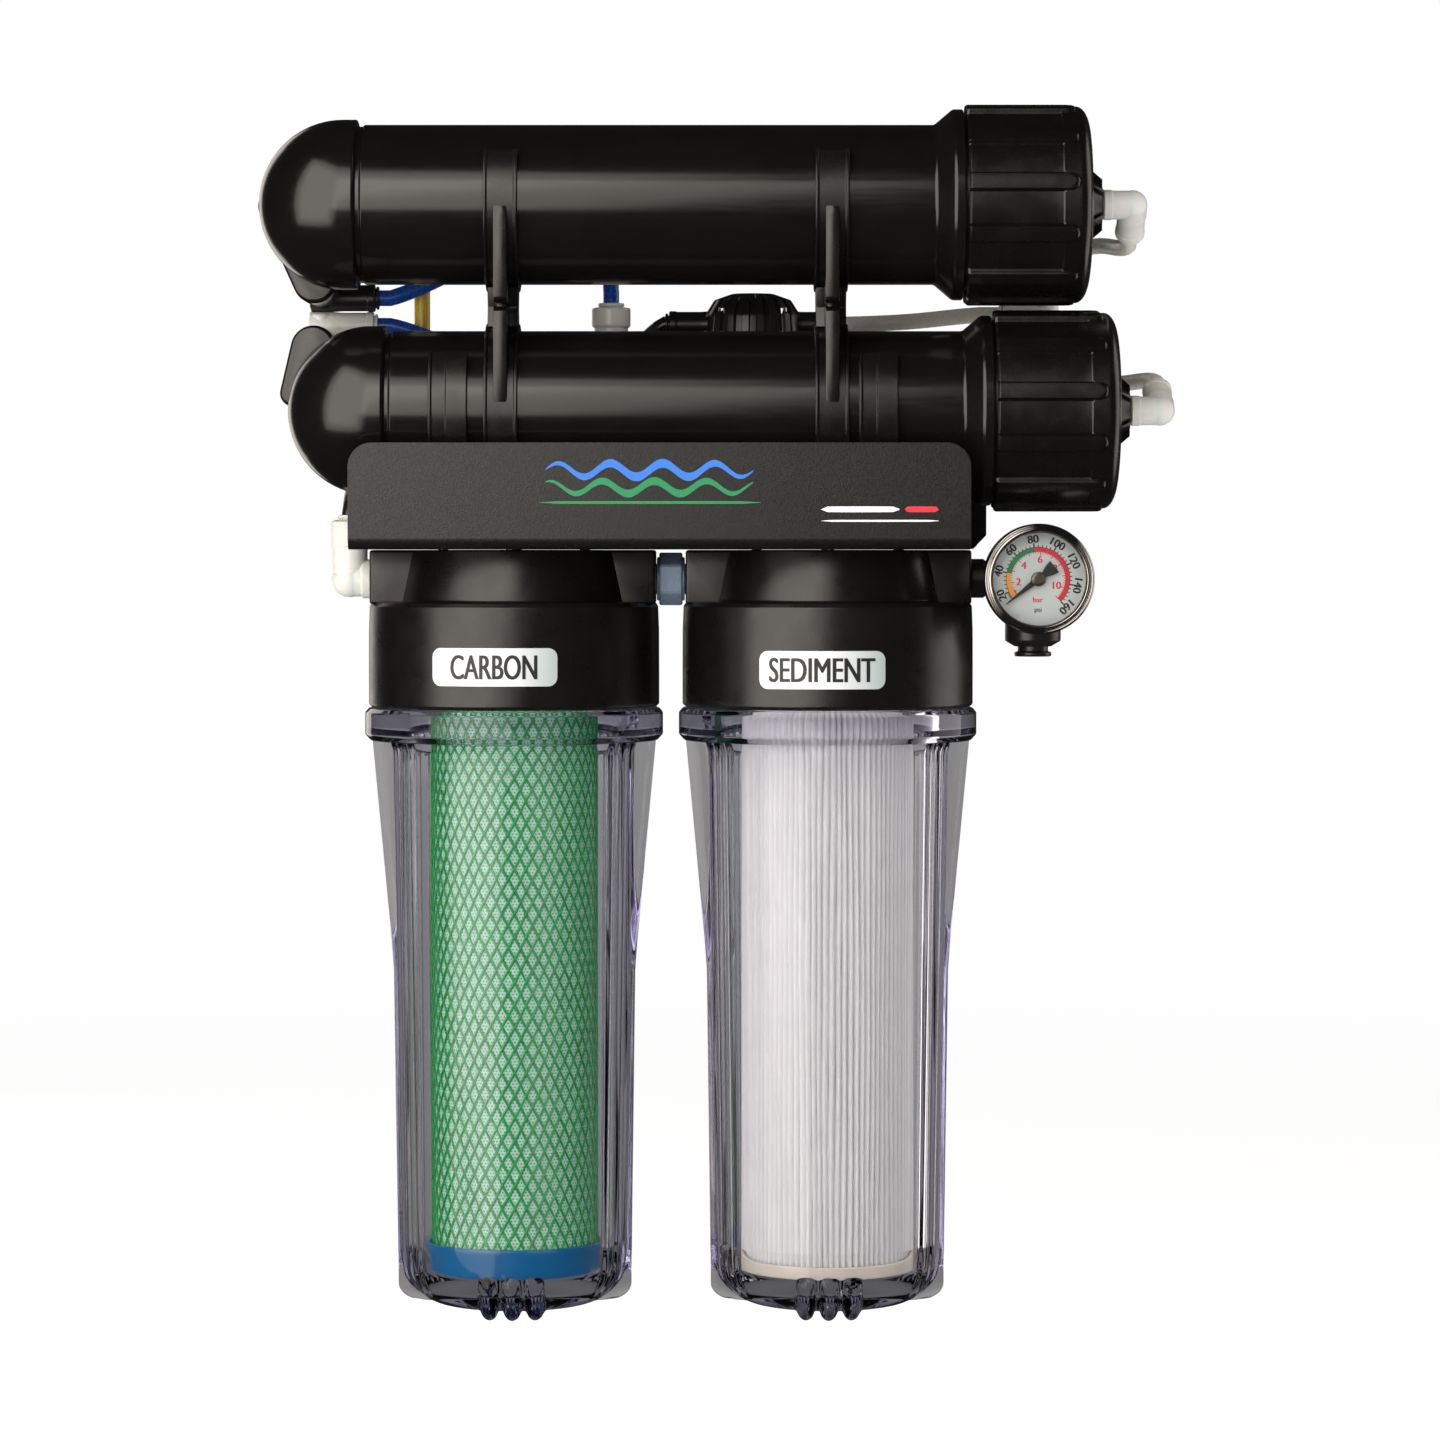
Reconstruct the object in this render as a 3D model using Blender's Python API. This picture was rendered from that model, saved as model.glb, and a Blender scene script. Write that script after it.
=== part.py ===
"""Wall-hung reverse osmosis unit: two filter sumps under a folded bracket, two membrane housings above.

Lengths are in millimetres and become metres where a mesh is made. X runs to the right, Y runs back to the
wall, Z runs up. The origin is the middle of the bracket's wall face.
"""

import math

import bmesh
import bpy
from mathutils import Matrix, Vector

MM = 0.001
GAP = 0.3
BIG, MEDIUM, SMALL = 24, 12, 8

# Filters
FILTER_X = 61.9
AXIS_Y = -62.0
HEAD_R, CONE_LOW_R, CONE_TOP_R = 57.3, 46.3, 42.3
HEAD_BOTTOM, HEAD_STEP = -82.0, -41.0
BOSS_X, BOSS_Y, PORT_Z, PORT_R = 56.0, 17.0, -31.7, 6.9
THREAD_R, SEAT_Z = 52.0, -57.7
COLLAR_R, COLLAR_TOP, COLLAR_BOTTOM = 58.75, -82.4, -95.0
BOWL_R, BOWL_END_R, BOWL_BOTTOM, BOWL_FLOOR = 46.8, 43.6, -318.5, -310.0
FIN_TOP_R, FIN_WAIST_R, FIN_END_R, FIN_WAIST_Z = 56.0, 47.5, 46.0, -183.0
SUMP_DROP_Z = -322.0
CARBON_R, PLEAT_R, CARTRIDGE_LOW, CARTRIDGE_TOP = 32.3, 34.0, -306.0, -58.0

# Bracket
SHEET, FLANGE_BOTTOM = 1.5, -20.0
PANEL_LEFT, PANEL_RIGHT, PANEL_FRONT, PANEL_TOP, PANEL_CORNER = -123.2, 115.5, -122.0, 21.0, 9.3
REAR_HALF, REAR_TOP, REAR_CHAMFER, BEND_R = 127.8, 35.0, 5.5, 3.0
SCREW_CIRCLE, SCREW_R, SCREW_HEAD_R = 28.0, 2.0, 4.4
WALL_HOLE_X, WALL_HOLE_Z, WALL_HOLE_R, ELBOW_NOTCH = 95.0, 8.0, 3.2, 4.8

# Membrane housings
HOUSING_Y, LOWER_Z, UPPER_Z, LOWER_SHIFT = -84.0, 34.0, 114.0, 11.0
TUBE_R, DOME_R, DOME_X, RIM_X, TUBE_END = 31.0, 33.0, -127.0, -120.8, 103.0
COLLAR_X, NECK_END, NECK_R, BORE_R = 113.9, 138.9, 35.0, 27.5
CAP_R, CAP_RIB, CAP_START, CAP_END, CAP_WALL = 38.1, 1.4, 114.7, 162.7, 151.5
CAP_RIBS, RIB_HALF, FIRST_RIB = 12, 4.4, -70.0
HUB_R, ELBOW_X = 16.0, 180.0
CLIP_XS, SADDLE_XS = (-65.0, 62.5), (-85.3, 80.3)
CLIP_WIDTH, SADDLE_WIDTH, CLIP_BORE, CLIP_R, SPINE = 13.0, 15.0, 31.4, 33.8, 5.3

# Gauge
GAUGE_X, GAUGE_Z, DIAL_R, NEEDLE_ZERO = 143.0, -31.5, 19.2, 218.0

# Tubing behind
LINE_R, FIT_R, SOCKET_R = 3.175, 5.3, 3.7
VALVE_X, VALVE_Y, VALVE_R, VALVE_FEED_Z, VALVE_PRODUCT_Z = 32.5, -28.0, 20.5, 70.0, 48.0
FEED_TEE = (150.0, -24.0, 74.0)
PRODUCT_TEE = (-24.0, -37.0, 48.0)
REJECT_X, REJECT_Y = -100.0, -27.0


def clear_scene():
    for obj in list(bpy.data.objects):
        bpy.data.objects.remove(obj, do_unlink=True)


def material(name, colour, roughness, metallic=0.0, transmission=0.0):
    made = bpy.data.materials.get(name) or bpy.data.materials.new(name)
    made.use_nodes = True
    shader = made.node_tree.nodes["Principled BSDF"]
    shader.inputs["Base Color"].default_value = (*colour, 1.0)
    shader.inputs["Roughness"].default_value = roughness
    shader.inputs["Metallic"].default_value = metallic
    shader.inputs["Transmission Weight"].default_value = transmission
    made.diffuse_color = (*colour, 1.0)
    return made


def black_plastic():
    return material("black_plastic", (0.012, 0.012, 0.012), 0.35)


def black_coat():
    return material("black_coat", (0.02, 0.02, 0.02), 0.5)


def white_plastic():
    return material("white_plastic", (0.78, 0.77, 0.73), 0.35)


def clear_plastic():
    return material("clear_plastic", (0.72, 0.72, 0.84), 0.08, transmission=0.9)


def chrome():
    return material("chrome", (0.75, 0.75, 0.75), 0.12, metallic=1.0)


def steel():
    return material("steel", (0.5, 0.5, 0.5), 0.3, metallic=1.0)


def rubber():
    return material("rubber", (0.02, 0.02, 0.02), 0.8)


def finish(mesh, name, look, at=(0, 0, 0)):
    """Puts a bmesh, modelled in millimetres, into the scene as an object placed at a point."""
    bmesh.ops.recalc_face_normals(mesh, faces=mesh.faces)
    mesh.transform(Matrix.Scale(MM, 4))
    data = bpy.data.meshes.new(name)
    mesh.to_mesh(data)
    mesh.free()
    data.shade_smooth()
    data.set_sharp_from_angle(angle=math.radians(32))
    obj = bpy.data.objects.new(name, data)
    obj.location = Vector(at) * MM
    bpy.context.scene.collection.objects.link(obj)
    data.materials.append(look)
    return obj


def even_angles(count):
    return [360.0 * step / count for step in range(count)]


def placed(axis, radius, angle, height):
    """A point at this radius and angle about the axis, and this height along it."""
    across, up = radius * math.cos(math.radians(angle)), radius * math.sin(math.radians(angle))
    if axis == "X":
        return (height, across, up)
    if axis == "-Y":
        return (across, -height, up)
    return (across, up, height)


def lathe(name, outline, look, axis="Z", at=(0, 0, 0), angles=None, swell=None):
    """Turns a closed outline of (radius, height) about an axis. A radius of 0 is a point on the axis.

    A third number in an outline point is how much of swell(step) is added to its radius.
    """
    angles = angles or even_angles(BIG)
    mesh = bmesh.new()
    rings = []
    for radius, height, *share in outline:
        if radius == 0:
            rings.append([mesh.verts.new(placed(axis, 0, 0, height))])
            continue
        extra = share[0] if share else 0.0
        rings.append([
            mesh.verts.new(placed(axis, radius + (extra * swell(step) if extra else 0.0), angle, height))
            for step, angle in enumerate(angles)
        ])
    count = len(angles)
    closes = len(rings[0]) > 1
    for index in range(len(rings) if closes else len(rings) - 1):
        here, there = rings[index], rings[(index + 1) % len(rings)]
        for step in range(count):
            after = (step + 1) % count
            if len(here) == 1:
                mesh.faces.new((here[0], there[step], there[after]))
            elif len(there) == 1:
                mesh.faces.new((here[step], there[0], here[after]))
            else:
                mesh.faces.new((here[step], there[step], there[after], here[after]))
    return finish(mesh, name, look, at)


def prism(name, outline, low, high, look, axis="Y", at=(0, 0, 0)):
    """Extrudes an outline from low to high along an axis. The outline is (x, z), (y, z) or (x, y)."""
    mesh = bmesh.new()

    def point(a, b, height):
        return {"X": (height, a, b), "Y": (a, height, b), "Z": (a, b, height)}[axis]

    ends = [[mesh.verts.new(point(a, b, height)) for a, b in outline] for height in (low, high)]
    mesh.faces.new(ends[0])
    mesh.faces.new(ends[1])
    for step in range(len(outline)):
        after = (step + 1) % len(outline)
        mesh.faces.new((ends[0][step], ends[0][after], ends[1][after], ends[1][step]))
    return finish(mesh, name, look, at)


def block(name, low, high, look, at=(0, 0, 0)):
    corners = [(low[0], low[1]), (high[0], low[1]), (high[0], high[1]), (low[0], high[1])]
    return prism(name, corners, low[2], high[2], look, "Z", at)


def rod(name, start, end, radius, look, sides=MEDIUM, end_radius=None):
    """A straight round bar between two points, tapered if its end radius differs."""
    start, end = Vector(start), Vector(end)
    along = (end - start).normalized()
    side = along.orthogonal().normalized()
    other = along.cross(side)
    mesh = bmesh.new()
    rings = []
    for centre, size in ((start, radius), (end, end_radius or radius)):
        rings.append([
            mesh.verts.new(centre + size * (math.cos(turn) * side + math.sin(turn) * other))
            for turn in (2 * math.pi * (step + 0.5) / sides for step in range(sides))
        ])
    for step in range(sides):
        after = (step + 1) % sides
        mesh.faces.new((rings[0][step], rings[0][after], rings[1][after], rings[1][step]))
    mesh.faces.new(rings[0])
    mesh.faces.new(rings[1])
    return finish(mesh, name, look)


def arc(centre, radius, start, end, steps):
    """Points on a circle from one angle to another, in degrees."""
    turns = (math.radians(start + (end - start) * step / steps) for step in range(steps + 1))
    return [(centre[0] + radius * math.cos(turn), centre[1] + radius * math.sin(turn)) for turn in turns]


def hide(helper):
    helper.hide_render = True
    helper.display_type = "WIRE"


def combine(obj, operation, helpers):
    """Joins helpers to an object, or cuts them from it, in turn."""
    for helper in helpers:
        hide(helper)
        step = obj.modifiers.new(helper.name, "BOOLEAN")
        step.operation = operation
        step.solver = "EXACT"
        step.object = helper
    return obj


def fitting(name, rods, bores, look, sides=MEDIUM):
    """A moulded fitting: round bars (start, end, radius) joined into one, with bores cut from it."""
    first, *others = [
        rod(f"{name}_bar{index}", start, end, radius, look, sides)
        for index, (start, end, radius) in enumerate(rods)
    ]
    first.name = name
    cutters = [
        rod(f"{name}_bore{index}", start, end, radius, look)
        for index, (start, end, radius) in enumerate(bores)
    ]
    combine(first, "UNION", others)
    return combine(first, "DIFFERENCE", cutters)


def smooth_route(points, spacing=11.0):
    """Points along a smooth curve through the given ones; its first and last stretches stay straight."""
    points = [Vector(point) for point in points]
    route = [points[0]]
    for index in range(1, len(points) - 2):
        before, here, there, beyond = points[index - 1:index + 3]
        length = (there - here).length
        enter = (there - before).normalized() * length
        leave = (beyond - here).normalized() * length
        steps = max(2, round(length / spacing))
        for step in range(steps):
            t = step / steps
            route.append(
                (2 * t**3 - 3 * t**2 + 1) * here + (t**3 - 2 * t**2 + t) * enter
                + (-2 * t**3 + 3 * t**2) * there + (t**3 - t**2) * leave
            )
    return route + points[-2:]


def line(name, points, look):
    """A length of tubing along a smooth route, with closed ends."""
    route = smooth_route(points)
    curve = bpy.data.curves.new(name, "CURVE")
    curve.dimensions = "3D"
    curve.bevel_depth = LINE_R * MM
    curve.bevel_resolution = 2
    curve.use_fill_caps = True
    spline = curve.splines.new("POLY")
    spline.points.add(len(route) - 1)
    for target, point in zip(spline.points, route):
        target.co = (*(point * MM), 1.0)
    curve.materials.append(look)
    obj = bpy.data.objects.new(name, curve)
    bpy.context.scene.collection.objects.link(obj)
    return obj


def screw_places(centre_x):
    return [(centre_x + x, AXIS_Y + y) for x, y in arc((0, 0), SCREW_CIRCLE, 0, 270, 3)]


def build_bracket():
    """A sheet folded into a channel: front panel, flange over the filter heads, and wall plate."""
    low, top = FLANGE_BOTTOM, FLANGE_BOTTOM + SHEET
    front, back = PANEL_FRONT, 0.0
    outside = BEND_R + SHEET
    section = (
        [(front, PANEL_TOP)]
        + arc((front + outside, low + outside), outside, 180, 270, 4)
        + arc((back - outside, low + outside), outside, 270, 360, 4)
        + [(back, REAR_TOP), (back - SHEET, REAR_TOP)]
        + arc((back - outside, low + outside), BEND_R, 360, 270, 4)
        + arc((front + outside, low + outside), BEND_R, 270, 180, 4)
        + [(front + SHEET, PANEL_TOP)]
    )
    look = black_coat()
    bracket = prism("bracket", section, -REAR_HALF, REAR_HALF, look, "X")
    out, above, r = REAR_HALF + 5, PANEL_TOP + 5, PANEL_CORNER
    cutters = []
    for side, edge in ((-1, PANEL_LEFT), (1, PANEL_RIGHT)):
        sweep = arc((edge - side * r, PANEL_TOP - r), r, 90 + side * -90, 90, 6)
        corner = [(side * out, low - 5), (edge, low - 5)] + sweep + [(edge - side * r, above), (side * out, above)]
        cutters.append(prism(f"panel_side{side}", corner, front - 5, back - outside - 2, look))
        chamfer = [
            (side * (REAR_HALF - REAR_CHAMFER - 5), low - 5),
            (side * out, low - 5),
            (side * out, low + REAR_CHAMFER + 5),
        ]
        cutters.append(prism(f"rear_chamfer{side}", chamfer, back - outside - 6, back + 5, look))
        hole = side * WALL_HOLE_X
        cutters.append(
            rod(f"wall_hole{side}", (hole, -5, WALL_HOLE_Z), (hole, 5, WALL_HOLE_Z), WALL_HOLE_R, look, SMALL)
        )
    notch = (PANEL_LEFT + ELBOW_NOTCH, AXIS_Y + 11, top + 5)
    cutters.append(block("elbow_notch", (-out, AXIS_Y - 11, low - 5), notch, look))
    for index, (x, y) in enumerate(screw_places(-FILTER_X) + screw_places(FILTER_X)):
        cutters.append(rod(f"screw_hole{index}", (x, y, low - 5), (x, y, top + 5), SCREW_R + 0.6, look, SMALL))
    return combine(bracket, "DIFFERENCE", cutters)


def build_head_screws():
    top = FLANGE_BOTTOM + SHEET + GAP
    outline = [
        (0, top + 2.6), (2.6, top + 2.6), (SCREW_HEAD_R, top + 1.0), (SCREW_HEAD_R, top),
        (SCREW_R, top), (SCREW_R, -33.0), (0, -34.5),
    ]
    for index, (x, y) in enumerate(screw_places(-FILTER_X) + screw_places(FILTER_X)):
        lathe(f"head_screw_{index + 1}", outline, steel(), at=(x, y, 0), angles=even_angles(SMALL))


def build_head(name, centre_x):
    """A filter head: threaded skirt, tapered crown with two flat-faced port bosses, and a cartridge seat."""
    top = FLANGE_BOTTOM - GAP
    outline = [
        (0, top), (CONE_TOP_R, top), (CONE_LOW_R, HEAD_STEP), (HEAD_R - 1.2, HEAD_STEP), (HEAD_R - 0.4, HEAD_STEP - 1),
        (HEAD_R, -60), (HEAD_R, HEAD_BOTTOM + 1.2), (HEAD_R - 1, HEAD_BOTTOM), (THREAD_R, HEAD_BOTTOM),
        (THREAD_R, -56), (46, -56), (44, -50), (16, -48), (16, SEAT_Z), (9, SEAT_Z), (8.5, -62),
        (5, -62), (5, -46), (0, -46),
    ]
    look = black_plastic()
    at = (centre_x, AXIS_Y, 0)
    head = lathe(name, outline, look, at=at)
    bosses = block(f"{name}_bosses", (-BOSS_X, -BOSS_Y, HEAD_STEP - 0.6), (BOSS_X, BOSS_Y, top), look, at)
    combine(head, "UNION", [bosses])
    cutters = []
    for side in (-1, 1):
        start = (centre_x + side * (BOSS_X + 5), AXIS_Y, PORT_Z)
        end = (centre_x + side * (BOSS_X - 17), AXIS_Y, PORT_Z)
        cutters.append(rod(f"{name}_port{side}", start, end, PORT_R, look))
    for index, (x, y) in enumerate(screw_places(centre_x)):
        cutters.append(rod(f"{name}_hole{index}", (x, y, top + 5), (x, y, -36), SCREW_R + 0.4, look, SMALL))
    return combine(head, "DIFFERENCE", cutters)


def build_sump(name, centre_x):
    """A clear bowl: seal groove and neck inside the head, collar, ribbed wall, two side fins, three foot bars."""
    outline = [
        (0, BOWL_BOTTOM - 1), (30, BOWL_BOTTOM), (39, BOWL_BOTTOM + 2.5), (BOWL_END_R, -309),
        (BOWL_END_R, -300, 1), (BOWL_R, -100, 1), (BOWL_R + 2, COLLAR_BOTTOM), (COLLAR_R - 0.8, COLLAR_BOTTOM),
        (COLLAR_R, COLLAR_BOTTOM + 0.9), (COLLAR_R, COLLAR_TOP - 0.9), (COLLAR_R - 0.8, COLLAR_TOP),
        (51.4, COLLAR_TOP), (51.4, -65.8), (48.9, -65.8), (48.9, -62.2), (51.4, -62.2), (51.4, -57.3),
        (46, -57.3), (43.0, -72), (41.5, -95), (40.0, -296), (36, -307), (30, BOWL_FLOOR),
        (16, BOWL_FLOOR), (16, CARTRIDGE_LOW - GAP), (9, CARTRIDGE_LOW - GAP), (8.5, -302), (0, -302),
    ]
    look = clear_plastic()
    at = (centre_x, AXIS_Y, 0)
    sump = lathe(name, outline, look, at=at, swell=lambda step: 1.3 if step % 3 == 1 else 0.0)
    helpers = []
    for side in (-1, 1):
        fin = [
            (side * 42.5, COLLAR_BOTTOM + 1), (side * FIN_TOP_R, COLLAR_BOTTOM + 1),
            (side * FIN_WAIST_R, FIN_WAIST_Z), (side * FIN_END_R, -306), (side * (FIN_END_R - 5), -316),
            (side * 38, -316), (side * 41.6, -300),
        ]
        helpers.append(prism(f"{name}_fin{side}", fin, -1.6, 1.6, look, at=at))
    for index, x in enumerate((-9.0, 0.0, 9.0)):
        bar = arc((x, SUMP_DROP_Z + 3.6), 3.6, 180, 360, 6) + [(x + 3.6, -314.5), (x - 3.6, -314.5)]
        helpers.append(prism(f"{name}_foot{index}", bar, -22, 22, look, at=at))
    return combine(sump, "UNION", helpers)


def build_seal(name, centre_x):
    ring = arc((50.15, -64), 1.15, 0, 288, 4)
    lathe(name, ring, rubber(), at=(centre_x, AXIS_Y, 0))


def cartridge_cap(name, centre_x, inner_r, outer_r, floor, rim, look):
    """A cup moulded over one end of a cartridge, with a hole for the seat."""
    inward = 2.5 if rim > floor else -2.5
    outline = [
        (10, floor), (outer_r, floor), (outer_r, rim), (inner_r, rim), (inner_r, floor + inward),
        (10, floor + inward),
    ]
    lathe(name, outline, look, at=(centre_x, AXIS_Y, 0))


def build_carbon_cartridge():
    low, high = CARTRIDGE_LOW + 2.5 + GAP, CARTRIDGE_TOP - 2.5 - GAP
    wrap = material("carbon_wrap", (0.2, 0.55, 0.3), 0.6)
    blue = material("blue_plastic", (0.0, 0.13, 0.4), 0.4)
    outline = [(12.5, low), (CARBON_R, low), (CARBON_R, high), (12.5, high)]
    lathe("carbon_block", outline, wrap, at=(-FILTER_X, AXIS_Y, 0))
    inner = CARBON_R + 0.4
    cartridge_cap("carbon_bottom_cap", -FILTER_X, inner, 35.0, CARTRIDGE_LOW, -293.0, blue)
    cartridge_cap("carbon_top_cap", -FILTER_X, inner, 35.0, CARTRIDGE_TOP, -71.0, blue)


def build_sediment_cartridge():
    low, high = CARTRIDGE_LOW + 2.5 + GAP, CARTRIDGE_TOP - 2.5 - GAP
    pleats = material("pleated_cloth", (0.8, 0.79, 0.75), 0.8)
    cream = material("cream_plastic", (0.75, 0.7, 0.58), 0.5)
    outline = [(14.0, low), (PLEAT_R - 1, low, 1), (PLEAT_R - 1, high, 1), (14.0, high)]
    lathe("pleated_media", outline, pleats, at=(FILTER_X, AXIS_Y, 0), swell=lambda step: step % 2)
    inner = PLEAT_R + 0.4
    cartridge_cap("sediment_bottom_cap", FILTER_X, inner, 35.6, CARTRIDGE_LOW, -300.0, cream)
    cartridge_cap("sediment_top_cap", FILTER_X, inner, 35.6, CARTRIDGE_TOP, -66.0, cream)


def build_head_nipple():
    """The hexagonal nipple that joins the two filter heads."""
    half = FILTER_X - BOSS_X - GAP
    grey = material("grey_plastic", (0.45, 0.5, 0.6), 0.35)
    hexagon = lathe(
        "head_nipple", [(0, -half), (10.5, -half), (10.5, half), (0, half)], grey, "X",
        (0, AXIS_Y, PORT_Z), even_angles(6),
    )
    thread = rod("nipple_thread", (-half - 14, AXIS_Y, PORT_Z), (half + 14, AXIS_Y, PORT_Z), 6.4, grey)
    combine(hexagon, "UNION", [thread])


def build_inlet():
    """Black tee on the feed head's port: gauge socket at the front, push-in tube port below."""
    look = black_plastic()
    face = FILTER_X + BOSS_X + GAP
    x, z = GAUGE_X, GAUGE_Z
    fitting(
        "inlet_tee",
        [
            ((face - 14, AXIS_Y, z), (face + 2, AXIS_Y, z), 6.4),
            ((face, AXIS_Y, z), (x + 8, AXIS_Y, z), 7.7),
            ((x, AXIS_Y, -58.0), (x, AXIS_Y, -41.0), 11.0),
            ((x, AXIS_Y, -45.0), (x, AXIS_Y, z + 5), 8.2),
            ((x, AXIS_Y, z), (x, AXIS_Y - 12, z), 8.0),
        ],
        [
            ((x, AXIS_Y - 20, z), (x, AXIS_Y - 3, z), 5.4),
            ((x, AXIS_Y, -70.0), (x, AXIS_Y, -45.0), 6.4),
            ((x, AXIS_Y, -50.0), (x, AXIS_Y, -35.0), 3.4),
        ],
        look,
    )
    collet = [(3.4, -62.3), (7.3, -62.3), (7.3, -60.3), (6.0, -60.3), (6.0, -49.0), (3.4, -49.0)]
    lathe("inlet_collet", collet, look, at=(x, AXIS_Y, 0), angles=even_angles(MEDIUM))


def build_gauge():
    """A back-mounted pressure gauge. Heights run forward from the tee's axis."""
    at = (GAUGE_X, AXIS_Y, GAUGE_Z)
    around = even_angles(16)
    case = [
        (0, 4), (5, 4), (5, 14), (8, 14), (8, 17), (20, 17), (20.5, 17.6), (20.5, 37), (19.5, 37),
        (19.5, 30), (18.0, 30), (18.0, 18.5), (0, 18.5),
    ]
    lathe("gauge_case", case, steel(), "-Y", at, around)
    ring = [(20.9, 30), (21.5, 30), (21.5, 38.6), (20.6, 40.4), (19.2, 41), (17.8, 40.2), (17.8, 39.2), (20.9, 39.2)]
    lathe("gauge_bezel", ring, chrome(), "-Y", at, around)
    lathe("gauge_window", [(0, 37.4), (20.5, 37.4), (20.5, 38.8), (0, 38.8)], clear_plastic(), "-Y", at, around)
    white = material("dial_white", (0.85, 0.85, 0.83), 0.4)
    lathe("gauge_dial", [(1.3, 30.3), (DIAL_R, 30.3), (DIAL_R, 31.3), (1.3, 31.3)], white, "-Y", at, around)
    hub = [(0, 24), (0.9, 24), (0.9, 31.9), (2.8, 31.9), (2.8, 34.6), (0, 34.6)]
    needle = lathe("gauge_needle", hub, black_coat(), "-Y", at, even_angles(SMALL))
    turn = math.radians(NEEDLE_ZERO)
    ahead, side = (math.cos(turn), math.sin(turn)), (-math.sin(turn), math.cos(turn))
    blade = [
        (ahead[0] * reach + side[0] * half, ahead[1] * reach + side[1] * half)
        for reach, half in (
            (16, 0.2), (0, 1.1), (-5, 1.0), (-8, 1.9), (-8, -1.9), (-5, -1.0), (0, -1.1), (16, -0.2)
        )
    ]
    combine(needle, "UNION", [prism("needle_blade", blade, -33.6, -32.8, black_coat(), at=at)])


def build_carbon_outlet():
    """White elbow on the carbon head's left port, and the tube from it to the shutoff valve."""
    face, z = -FILTER_X - BOSS_X - GAP, PORT_Z
    x = face - 8.5
    fitting(
        "carbon_outlet_elbow",
        [
            ((face + 14, AXIS_Y, z), (face - 2, AXIS_Y, z), 6.4),
            ((face, AXIS_Y, z), (x - 5.5, AXIS_Y, z), 7.7),
            ((x, AXIS_Y, z - 5.5), (x, AXIS_Y, -8.2), 7.5),
        ],
        [((x, AXIS_Y, 0), (x, AXIS_Y, -20), SOCKET_R)],
        white_plastic(),
    )
    tubing = material("black_tubing", (0.015, 0.015, 0.015), 0.4)
    left_port = VALVE_X - VALVE_R
    line(
        "carbon_outlet_tube",
        [
            (x, AXIS_Y, -18), (x, AXIS_Y, -6), (x + 3, AXIS_Y + 20, 6), (x + 26, AXIS_Y + 47, 6),
            (x + 70, AXIS_Y + 49, 12), (-28, AXIS_Y + 48, 45), (left_port - 15, VALVE_Y, VALVE_FEED_Z),
            (left_port - 4, VALVE_Y, VALVE_FEED_Z),
        ],
        tubing,
    )


def hull_of_circles(first, first_r, second, second_r, steps=8):
    """The outline round two circles, as (x, z) points."""
    apart = Vector(second) - Vector(first)
    along = math.degrees(math.atan2(apart.y, apart.x))
    lean = math.degrees(math.acos((first_r - second_r) / apart.length))
    return arc(first, first_r, along + lean, along + 360 - lean, steps) + arc(
        second, second_r, along - lean, along + lean, steps
    )


def build_housing(name, shift, z, lobe, lobe_r, nub, nub_r):
    """A membrane housing: dome with a moulded port bar behind it, barrel, flared collar and capped neck."""
    look = black_plastic()
    dome = [(DOME_R * math.cos(t), DOME_X - DOME_R * math.sin(t)) for t in (
        math.radians(90 - 15 * step) for step in range(1, 6))]
    outline = (
        [(0, DOME_X - DOME_R)] + dome
        + [(DOME_R, DOME_X), (DOME_R, RIM_X), (30.2, RIM_X + 0.6), (30.2, RIM_X + 2), (TUBE_R, RIM_X + 2.6)]
        + [(TUBE_R, TUBE_END), (37, COLLAR_X - 4.3), (37, COLLAR_X), (NECK_R, COLLAR_X + GAP), (NECK_R, NECK_END)]
        + [(BORE_R, NECK_END), (BORE_R, -126), (20, -142), (9.2, -146), (9.2, -153), (0, -153)]
    )
    at = (shift, HOUSING_Y, z)
    housing = lathe(name, outline, look, "X", at)
    bar = hull_of_circles(lobe, lobe_r, nub, nub_r)
    port_bar = prism(f"{name}_port_bar", bar, HOUSING_Y + 4, HOUSING_Y + 33, look)
    return housing, port_bar


def build_housings():
    upper_lobe, lower_lobe = (-139.0, UPPER_Z - 29.5), (-139.5, LOWER_Z + 24.5)
    ports = {
        "upper": (upper_lobe, 8.5, (-154.5, UPPER_Z), 6.5),
        "lower": (lower_lobe, 9.0, (-147.5, LOWER_Z + 7), 5.2),
    }
    for place, shift, z in (("upper", 0.0, UPPER_Z), ("lower", LOWER_SHIFT, LOWER_Z)):
        name = f"{place}_membrane_housing"
        housing, port_bar = build_housing(name, shift, z, *ports[place])
        look = black_plastic()
        combine(housing, "UNION", [port_bar])
        inside = BORE_R - 0.2
        hollow = [(0, -152.9), (9.1, -152.9), (9.1, -145.8), (19.8, -141.8), (inside, -126), (inside, -60), (0, -60)]
        bore = lathe(f"{name}_bore", hollow, look, "X", (shift, HOUSING_Y, z))
        lobe = ports[place][0]
        rear = HOUSING_Y + 33
        sockets = [
            bore,
            rod(f"{name}_product", (lobe[0], rear + 5, lobe[1]), (lobe[0], rear - 12, lobe[1]), 4.7, look),
            rod(f"{name}_reject", (REJECT_X, HOUSING_Y + 40, z), (REJECT_X, HOUSING_Y + 20, z), 4.7, look),
        ]
        combine(housing, "DIFFERENCE", sockets)
        build_membrane(place, (shift, HOUSING_Y, z))
        build_cap(place, (shift, HOUSING_Y, z))


def build_membrane(place, at):
    outline = [
        (0, -152), (8.6, -152), (8.6, -138), (22.8, -132), (22.8, 118), (26.6, 119), (26.6, 123), (22.8, 124),
        (22.8, 129), (8.6, 130.5), (8.6, 142), (0, 142),
    ]
    look = material("membrane_wrap", (0.75, 0.78, 0.8), 0.4)
    lathe(f"{place}_membrane", outline, look, "X", at, even_angles(MEDIUM))


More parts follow.
